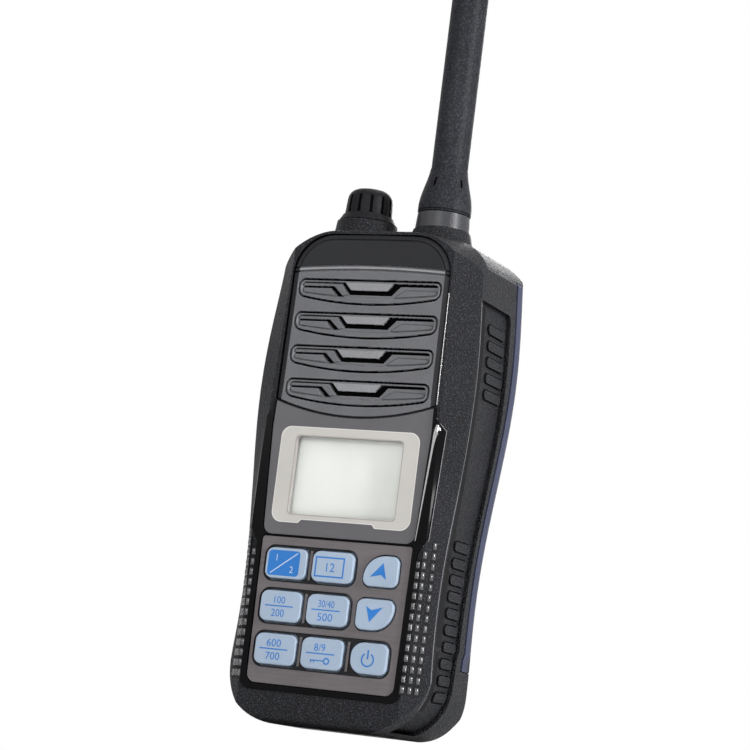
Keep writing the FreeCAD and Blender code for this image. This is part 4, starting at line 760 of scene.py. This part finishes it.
def buildPanelEdgeHighlight():
    k = panelEdgeHighlight
    halves = np.linspace(k["half"], k["halfTop"], k["steps"])
    heights = np.linspace(k["foot"], k["top"], k["steps"])
    points = [place(half, k["depth"], z) for half, z in zip(halves, heights)]
    addPiece("panelEdgeHighlight", smooth(bead(points, k["radius"])), "radio", "housing_black", "paintedHighlight")


buildPanelEdgeHighlight()


display = {
    "half": 21.2, "foot": 55.0, "top": 81.9, "corner": 3.0,
    "notchLeft": -11.8, "notchRight": 9.8, "notchRise": 1.0, "notchSlope": 0.9,
    "notchRadius": 0.3, "notchFootRadius": 0.15,
    "windowHalf": 16.6, "windowFoot": 57.2, "windowTop": 79.6, "windowCorner": 1.2,
    "outline": 0.22, "outlineLift": 0.005, "printLift": 0.02, "printSunk": 0.02, "plateTop": 0.05,
    "linerOverlap": 0.02, "linerWall": 0.3, "linerDepth": 1.48,
}


# the printed frame, with a shallow notch in its foot
def displayOutline(inset):
    k = display
    half, foot, top = k["half"] - inset, k["foot"] + inset, k["top"] - inset
    rise = foot + k["notchRise"]
    left, right = k["notchLeft"] - inset, k["notchRight"] + inset
    return rounded([
        (-half, foot, k["corner"]), (left - k["notchSlope"], foot, k["notchFootRadius"]),
        (left, rise, k["notchRadius"]), (right, rise, k["notchRadius"]),
        (right + k["notchSlope"], foot, k["notchFootRadius"]), (half, foot, k["corner"]),
        (half, top, k["corner"]), (-half, top, k["corner"]),
    ])


def windowOutline(inset):
    k = display
    half = k["windowHalf"] - inset
    return bar(-half, half, k["windowFoot"] + inset, k["windowTop"] - inset, k["windowCorner"])


def buildDisplay():
    k = display
    near = k["plateTop"] - k["printLift"]
    far = k["plateTop"] + k["printSunk"]
    line = slab([displayOutline(0.0), displayOutline(k["outline"])], near - k["outlineLift"], far)
    addPiece("bezelLine", line, "radio", "display_plate", "printWhite")
    band = slab([displayOutline(k["outline"]), windowOutline(0.0)], near, far)
    addPiece("bezelPrint", band, "radio", "display_plate", "printBeige")
    liner = slab([windowOutline(-k["linerOverlap"]), windowOutline(k["linerWall"])], near, k["linerDepth"])
    addPiece("windowLiner", liner, "radio", "display_plate", "linerGrey")


buildDisplay()
print("display ready")


# painted highlight on the trim's inner edge, right side only, as (z, inner, outer) going up, and a thin pale
# line round its outside, also a painted highlight
trimSheen = {
    "corners": [(52.6, 23.3, 23.55), (78.0, 24.85, 25.45), (80.5, 24.95, 25.8), (82.0, 25.0, 26.3),
                (83.2, 25.2, 26.95), (84.4, 25.6, 26.3)],
    "step": 0.6, "across": 4, "lift": 0.03, "sunk": 0.1,
    "outside": [(25.3, 86.3), (28.0, 83.0), (27.0, 53.2), (24.7, 49.4)], "spacing": 2.0, "radius": 0.09,
}


def buildTrimSheen():
    k = trimSheen
    trim = surfaceOf("front_trim", "front_shell")
    sections = []
    heights, inners, outers = zip(*k["corners"])
    for z in np.arange(heights[0], heights[-1], k["step"]):
        inner = np.interp(z, heights, inners)
        outer = np.interp(z, heights, outers)
        spots = [fromFront(trim, x, z)[0] for x in np.linspace(inner, outer, k["across"])]
        sections.append([spot - Vector((0, k["lift"] * mm, 0)) for spot in spots]
                        + [spot + Vector((0, k["sunk"] * mm, 0)) for spot in spots[::-1]])
    addPiece("trimSheen", smooth(sectionMesh([sections])), "radio", "trim_gloss", "paintedHighlight")
    points = []
    for (ax, az), (bx, bz) in zip(k["outside"], k["outside"][1:]):
        count = max(2, round(math.hypot(bx - ax, bz - az) / k["spacing"]))
        for t in np.linspace(0, 1, count, endpoint=False):
            points.append(fromFront(trim, ax + (bx - ax) * t, az + (bz - az) * t)[0])
    # painted highlight: a pale bead round the trim's outside
    addPiece("trimHighlightLine", smooth(bead(points, k["radius"])), "radio", "housing_black", "panelLight")


buildTrimSheen()
print("polished edges ready")


# numbers are (text, across, up, height, squeeze) and bars (left, right, foot, top) from a key's middle
legends = {
    "keyTop": -0.8, "lift": 0.02, "markLift": 0.015, "sunk": 0.05, "line": 0.42,
    "numbers": {
        "recall": [("1", -2.9, 1.5, 1.9, 0.9), ("2", 1.9, -1.6, 1.9, 0.9)],
        "channel": [("12", -0.85, -0.1, 2.5, 0.95)],
        "favourite": [("100", -0.6, 1.75, 2.0, 0.95), ("200", -0.6, -1.85, 2.1, 0.95)],
        "volume": [("30/40", -0.4, 1.75, 2.0, 0.8), ("500", -0.4, -1.85, 2.2, 1.05)],
        "scan": [("600", -0.5, 1.75, 2.1, 1.05), ("700", -0.5, -1.85, 2.1, 1.05)],
        "lock": [("8/9", -0.7, 1.7, 2.1, 0.95)],
    },
    "recallPad": (-5.5, 4.2, -3.5, 3.5, 1.1), "recallSlash": (-4.5, -2.9, 3.4, 2.9, 0.3),
    "channelBox": (-5.3, 3.6, -2.9, 2.7), "rule": (-4.7, 3.9, -0.17, 0.17),
    "upArrow": [(0.6, 2.3), (-3.0, -1.7), (0.2, -1.0), (1.9, -2.2)],
    "downArrow": [(-2.6, 2.2), (-0.9, 1.2), (2.4, 2.2), (-1.2, -2.1)],
    "lockRing": (1.7, -1.9, 0.95, 0.55),
    "lockTeeth": [(-3.2, 0.8, -2.05, -1.75), (-3.1, -2.8, -2.6, -1.9), (-2.2, -1.9, -2.5, -1.9)],
    "powerRing": (-0.2, -0.35, 1.75), "powerOpening": (122, 296), "powerLine": (-0.42, 0.02, -0.2, 2.25),
}


# outline of a straight line with square ends
def stroke(ax, az, bx, bz, width):
    along = Vector((bx - ax, bz - az)).normalized() * width / 2
    side = Vector((-along.y, along.x))
    a, b = Vector((ax, az)), Vector((bx, bz))
    return [a - side, b - side, b + side, a + side]


# outline of an open ring
def arcBand(x, z, radius, width, start, sweep):
    outer = disc(x, z, radius + width / 2, 30, start, sweep)
    inner = disc(x, z, radius - width / 2, 30, start, sweep)
    return outer + inner[::-1]


def keyMiddle(node):
    low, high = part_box(node)
    return (low.x + high.x) / 2 / mm, (low.z + high.z) / 2 / mm


# a key's marking: each shape is a list of outlines, the first outside and the others its holes
def legend(prefix, key, shapes, numbers=(), finish="legendBlue", lift=0.0):
    k = legends
    near = k["keyTop"] - k["lift"] - lift
    far = k["keyTop"] + k["sunk"]
    x, z = keyMiddle("key_" + key)
    parts = [slab([[(px + x, pz + z) for px, pz in outline] for outline in shape], near, far)
             for shape in shapes]
    for text, across, up, height, squeeze in numbers:
        parts.append(lettering(text, x + across, z + up, height, near, far, squeeze))
    addPiece(prefix + key, gather(parts), "button_" + key, "key_cap_blue", finish)


def buildLegends():
    k = legends
    numbers = k["numbers"]
    legend("legend_", "recall", [[bar(*k["recallPad"])]])
    legend("mark_", "recall", [[stroke(*k["recallSlash"])]], numbers["recall"], "legendPale", k["markLift"])
    left, right, foot, top = k["channelBox"]
    thin = k["line"]
    box = [bar(left, right, foot, top), bar(left + thin, right - thin, foot + thin, top - thin)]
    legend("legend_", "channel", [box], numbers["channel"])
    legend("legend_", "up", [[k["upArrow"]]])
    legend("legend_", "down", [[k["downArrow"]]])
    rule = [bar(*k["rule"])]
    for key in ("favourite", "volume", "scan"):
        legend("legend_", key, [rule], numbers[key])
    x, z, outer, inner = k["lockRing"]
    teeth = [[bar(*tooth)] for tooth in k["lockTeeth"]]
    legend("legend_", "lock", [rule, [disc(x, z, outer), disc(x, z, inner)]] + teeth, numbers["lock"])
    ring = arcBand(*k["powerRing"], thin, *k["powerOpening"])
    legend("legend_", "power", [[ring], [bar(*k["powerLine"])]])


buildLegends()
print("key legends ready")


# moulded grip beside the keypad: three columns of small pyramids on a dark sheet that paints the shade
# between them
grip = {
    "foot": 12.75, "pitch": 2.79, "rows": 16, "columns": 3, "first": 24.7, "columnPitch": 1.55,
    "widen": 0.01, "topSide": 46.6, "topRise": 2.8,
    "halfWide": 0.66, "halfHigh": 1.05, "height": 0.45, "sunk": 0.1,
    "levels": [(1.0, 0.0), (0.82, 0.55), (0.5, 0.9), (0.22, 1.0)],  # share of the width, share of the height
    "bedHigh": 0.04, "bedLow": -0.1, "bedOverlap": 0.02,
}


# four corners over a spot on a surface: half width, half height and distance out, in millimetres
def squareOver(spot, normal, wide, high, out):
    up = (Vector((0, 0, 1)) - normal * normal.z).normalized()
    right = up.cross(normal)
    return [spot + (normal * out + right * rx * wide + up * rz * high) * mm
            for rx, rz in ((-1, -1), (1, -1), (1, 1), (-1, 1))]


def buildGrip():
    k = grip
    shell = surfaceOf("front_shell", "front_trim")
    bedWide = k["columnPitch"] / 2 + k["bedOverlap"]
    bedTall = k["pitch"] / 2 + k["bedOverlap"]
    studs = []
    beds = []
    for side, row, column in itertools.product((-1, 1), range(k["rows"]), range(k["columns"])):
        z = k["foot"] + row * k["pitch"]
        if z > k["topSide"] + k["topRise"] * column:
            continue
        x = side * (k["first"] + column * k["columnPitch"] + k["widen"] * (z - k["foot"]))
        spot, normal = fromFront(shell, x, z)
        studs.append([squareOver(spot, normal, share * k["halfWide"], share * k["halfHigh"],
                                 -k["sunk"] + (k["height"] + k["sunk"]) * rise)
                      for share, rise in k["levels"]])
        beds.append([squareOver(spot, normal, bedWide, bedTall, out) for out in (k["bedLow"], k["bedHigh"])])
    addPiece("gripStuds", smooth(sectionMesh(studs), 50), "radio", "housing_black", "stud")
    # painted shade: a dark sheet under the studs darkens the grooves between them
    addPiece("gripShadeBed", sectionMesh(beds), "radio", "housing_black", "shadowSheet")


buildGrip()
print("grip ready")


# painted shade: a dark strip behind the joint of the two shells; painted highlight: a thin pale lip along the
# front shell's edge
jointStrip = {
    "near": 0.15, "far": 5.2, "across": 7, "foot": 8.0, "top": 120.4, "step": 1.6, "lift": 0.04, "sunk": 0.1,
    "splitFoot": 5.2, "splitSlope": 0.018, "lip": 0.35, "lipRadius": 0.17, "lipSunk": 0.13,
}


def buildJointShadeAndHighlight():
    k = jointStrip
    shell = surfaceOf("rear_shell")
    front = surfaceOf("front_shell")
    strips = []
    lips = []
    for side in (-1, 1):
        sections = []
        lip = []
        for z in np.arange(k["foot"], k["top"], k["step"]):
            outer = []
            inner = []
            split = k["splitFoot"] + k["splitSlope"] * z
            edge = fromSide(front, side, split - k["lip"], z)[0]
            lip.append(edge - Vector((side * k["lipSunk"] * mm, 0, 0)))
            for share in np.linspace(0, 1, k["across"]):
                depth = split + k["near"] + (k["far"] - k["near"]) * share
                spot, normal = fromSide(shell, side, depth, z)
                outer.append(spot + normal * k["lift"] * mm)
                inner.append(spot - normal * k["sunk"] * mm)
            sections.append(outer + inner[::-1])
        strips.append(sections)
        lips.append(smooth(bead(lip, k["lipRadius"])))
    # the strip is painted shade, the pale lip a painted highlight
    addPiece("jointShadeStrips", smooth(sectionMesh(strips), 40), "radio", "silicone", "shadowSheet")
    addPiece("jointHighlightLips", gather(lips), "radio", "housing_black", "panel")


buildJointShadeAndHighlight()
print("joint strips ready")


# painted shade: black lines round the antenna's ring, and black strips for the small slots near the top of
# its boot
antennaShadeMarks = {
    "x": 12.2, "depth": 17.0, "lines": [(146.62, 0.16), (147.5, 0.1)], "above": 0.05, "bootFoot": 146.85,
    "lift": 0.03, "sunk": 0.3,
    "slots": 5, "slotStart": -100.0, "slotFoot": 154.2, "slotTop": 156.9, "slotSteps": 6, "slotHalf": 0.38,
    "endShare": 0.55, "slotLift": 0.03, "slotSunk": 0.2,
}


def buildAntennaShadeMarks():
    k = antennaShadeMarks
    boot = surfaceOf("antenna_boot")
    middle = place(k["x"], k["depth"], 0)
    meshes = []
    for z, half in k["lines"]:
        right = towardsAxis(boot, middle, 0.0, max(z + k["above"], k["bootFoot"]))
        outer = (right.x - middle.x) / mm + k["lift"]
        inner = outer - k["sunk"]
        meshes.append(turnedBand([(outer, z - half), (outer, z + half), (inner, z + half), (inner, z - half)],
                                 k["x"], k["depth"]))
    heights = np.linspace(k["slotFoot"], k["slotTop"], k["slotSteps"])
    profile = [(-1, 0.0), (0, k["slotLift"]), (1, 0.0), (1, -k["slotSunk"]), (-1, -k["slotSunk"])]
    slots = []
    for i in range(k["slots"]):
        turn = math.radians(k["slotStart"] + 360.0 / k["slots"] * i)
        out, across = aroundAxis(turn)
        sections = []
        for z in heights:
            half = k["slotHalf"] * (k["endShare"] if z in (heights[0], heights[-1]) else 1.0)
            base = towardsAxis(boot, middle, turn, z)
            sections.append([base + (out * lift + across * half * s) * mm for s, lift in profile])
        slots.append(sections)
    addPiece("antennaShadeMarks", gather(meshes + [sectionMesh(slots)]), "antenna", "antenna_rubber", "deepBlack")


buildAntennaShadeMarks()
print("antenna marks ready")


# painted shade: black strips in the roots of the flutes round the knob
knobFluteShade = {
    "x": -11.5, "depth": 17.0, "flutes": 12, "foot": 146.4, "top": 151.6, "steps": 7, "half": 0.42,
    "lift": 0.03, "sunk": 0.15,
}


def buildKnobFluteShade():
    k = knobFluteShade
    knob = surfaceOf("volume_knob")
    middle = place(k["x"], k["depth"], 0)
    marks = []
    for i in range(k["flutes"]):
        turn = 2 * math.pi * i / k["flutes"]
        out = aroundAxis(turn)[0]
        sections = []
        for z in np.linspace(k["foot"], k["top"], k["steps"]):
            root = [towardsAxis(knob, middle, turn, z, offset) for offset in (-k["half"], 0.0, k["half"])]
            sections.append([spot + out * k["lift"] * mm for spot in root]
                            + [spot - out * k["sunk"] * mm for spot in root[::-1]])
        marks.append(sections)
    addPiece("knobFluteShade", sectionMesh(marks), "knob", "knob_rubber", "deepBlack")


buildKnobFluteShade()


# narrow bars of the keypad's film between the key openings
keyWebs = {
    "rows": [("recall", "channel", "up"), ("favourite", "volume", "down"), ("scan", "lock", "power")],
    "near": 0.06, "far": 0.38, "half": 0.36, "inset": 0.9,
}


def buildKeyWebs():
    k = keyWebs
    webs = []
    for row in k["rows"]:
        for left, right in zip(row, row[1:]):
            low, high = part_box("key_" + left)
            x = (high.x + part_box("key_" + right)[0].x) / 2 / mm
            outline = bar(x - k["half"], x + k["half"], low.z / mm + k["inset"], high.z / mm - k["inset"])
            webs.append(slab([outline], k["near"], k["far"]))
    addPiece("keyWebs", gather(webs), "radio", "keypad_metal", "keypad")


buildKeyWebs()


# painted shade: thin black sheets closing the slit on the ledge that the battery's foot faces
packSlitShade = {
    "foot": 19.8, "top": 20.32, "wallZ": 19.7, "nearDepth": 21.0, "farDepth": 31.818, "steps": 8,
    "inset": 0.12, "wide": 2.2,
}


def buildPackSlitShade():
    k = packSlitShade
    shell = surfaceOf("rear_shell")
    strips = []
    for side in (-1, 1):
        sections = []
        for depth in np.linspace(k["nearDepth"], k["farDepth"], k["steps"]):
            outer = fromSide(shell, side, depth, k["wallZ"])[0].x / mm - side * k["inset"]
            inner = outer - side * k["wide"]
            sections.append([place(outer, depth, k["top"]), place(inner, depth, k["top"]),
                             place(inner, depth, k["foot"]), place(outer, depth, k["foot"])])
        strips.append(sections)
    addPiece("packSlitShade", sectionMesh(strips), "radio", "silicone", "deepBlack")


buildPackSlitShade()
print("small marks ready")


camera = {
    "azimuth": 26.109, "elevation": -9.165, "roll": 7.159,
    "distance": 672.3, "lookX": 5.187, "lookZ": 97.34, "lens": 117.455, "sensor": 36.0,
    "nearest": 0.01,
}


def setCamera():
    azimuth, elevation, roll = (math.radians(camera[k]) for k in ("azimuth", "elevation", "roll"))
    back = Vector((math.sin(azimuth) * math.cos(elevation), -math.cos(azimuth) * math.cos(elevation),
                   math.sin(elevation)))
    right = (-back).cross(Vector((0, 0, 1))).normalized()
    up = right.cross(-back)
    tiltRight = math.cos(roll) * right + math.sin(roll) * up
    tiltUp = -math.sin(roll) * right + math.cos(roll) * up
    data = bpy.data.cameras.new("camera")
    data.lens = camera["lens"]
    data.sensor_width = camera["sensor"]
    data.clip_start = camera["nearest"]
    viewer = bpy.data.objects.new("camera", data)
    bpy.context.scene.collection.objects.link(viewer)
    spot = place(camera["lookX"], 0.0, camera["lookZ"]) + back * camera["distance"] * mm
    turn = Matrix((tiltRight, tiltUp, back)).transposed().to_4x4()
    viewer.matrix_world = Matrix.Translation(spot) @ turn
    bpy.context.scene.camera = viewer


setCamera()
print("camera ready")


studio = {
    "floorSize": 6.0, "floorColour": (0.86, 0.86, 0.86, 1.0), "floorRough": 0.9, "floorSpecular": 0.1,
    "floorFade": (0.25, 0.9),  # metres from the middle
    "worldLevel": 0.33, "aim": (0, 0, 0.08),
    "lamps": {
        "front": dict(at=(0.1, -1.3, 0.5), size=(0.6, 0.8), watts=10.0),
        "right": dict(at=(1.15, -0.25, 0.4), size=(0.2, 0.6), watts=24.0),
        "left": dict(at=(-0.8, -1.1, 0.5), size=(0.5, 0.5), watts=3.0),
        "top": dict(at=(0.1, 0.35, 1.5), size=(0.7, 0.7), watts=7.0),
        "back": dict(at=(-0.45, 1.3, 0.6), size=(0.8, 0.8), watts=14.0),
    },
}


def buildFloor():
    half = studio["floorSize"] / 2
    mesh = bpy.data.meshes.new("floor")
    corners = [(-half, -half, 0), (half, -half, 0), (half, half, 0), (-half, half, 0)]
    mesh.from_pydata(corners, [], [(0, 1, 2, 3)])
    floor = bpy.data.objects.new("floor", mesh)
    bpy.context.scene.collection.objects.link(floor)
    mat = bpy.data.materials.new("floorPaint")
    mat.use_nodes = True
    tree = mat.node_tree
    shader = tree.nodes["Principled BSDF"]
    shader.inputs["Base Color"].default_value = studio["floorColour"]
    shader.inputs["Roughness"].default_value = studio["floorRough"]
    shader.inputs["Specular IOR Level"].default_value = studio["floorSpecular"]
    # away from the object the floor runs into the white background
    length = tree.nodes.new("ShaderNodeVectorMath")
    length.operation = "LENGTH"
    tree.links.new(tree.nodes.new("ShaderNodeTexCoord").outputs["Object"], length.inputs[0])
    path = tree.nodes.new("ShaderNodeLightPath")
    seen = math2(tree, "ADD", path.outputs["Is Camera Ray"], path.outputs["Is Glossy Ray"], True)
    seen = math2(tree, "ADD", seen, path.outputs["Is Transmission Ray"], True)
    fade = spread(tree, length.outputs["Value"], *studio["floorFade"])
    glow = tree.nodes.new("ShaderNodeEmission")
    backdrop = tree.nodes.new("ShaderNodeMixShader")
    tree.links.new(math2(tree, "MULTIPLY", fade, seen), backdrop.inputs[0])
    tree.links.new(shader.outputs[0], backdrop.inputs[1])
    tree.links.new(glow.outputs[0], backdrop.inputs[2])
    # from under the table it is clear
    clear = tree.nodes.new("ShaderNodeBsdfTransparent")
    mix = tree.nodes.new("ShaderNodeMixShader")
    tree.links.new(tree.nodes.new("ShaderNodeNewGeometry").outputs["Backfacing"], mix.inputs[0])
    tree.links.new(backdrop.outputs[0], mix.inputs[1])
    tree.links.new(clear.outputs[0], mix.inputs[2])
    tree.links.new(mix.outputs[0], tree.nodes["Material Output"].inputs["Surface"])
    mesh.materials.append(mat)


def buildLamps():
    aim = Vector(studio["aim"])
    for name, lamp in studio["lamps"].items():
        data = bpy.data.lights.new(name, "AREA")
        data.shape = "RECTANGLE"
        data.size, data.size_y = lamp["size"]
        data.energy = lamp["watts"]
        light = bpy.data.objects.new(name, data)
        bpy.context.scene.collection.objects.link(light)
        spot = Vector(lamp["at"])
        turn = (aim - spot).to_track_quat("-Z", "Y").to_matrix().to_4x4()
        light.matrix_world = Matrix.Translation(spot) @ turn


def buildWorld():
    world = bpy.data.worlds.new("studio")
    bpy.context.scene.world = world
    world.use_nodes = True
    tree = world.node_tree
    backdrop = tree.nodes["Background"]
    path = tree.nodes.new("ShaderNodeLightPath")
    seen = math2(tree, "ADD", path.outputs["Is Camera Ray"], path.outputs["Is Transmission Ray"], True)
    seen = math2(tree, "ADD", seen, path.outputs["Is Glossy Ray"], True)
    plug(tree, backdrop.inputs["Strength"], spread(tree, seen, 0.0, 1.0, studio["worldLevel"], 1.0))
    backdrop.inputs["Color"].default_value = (1, 1, 1, 1)


buildFloor()
buildLamps()
buildWorld()
bpy.context.scene.view_settings.view_transform = "Standard"
print("studio ready")
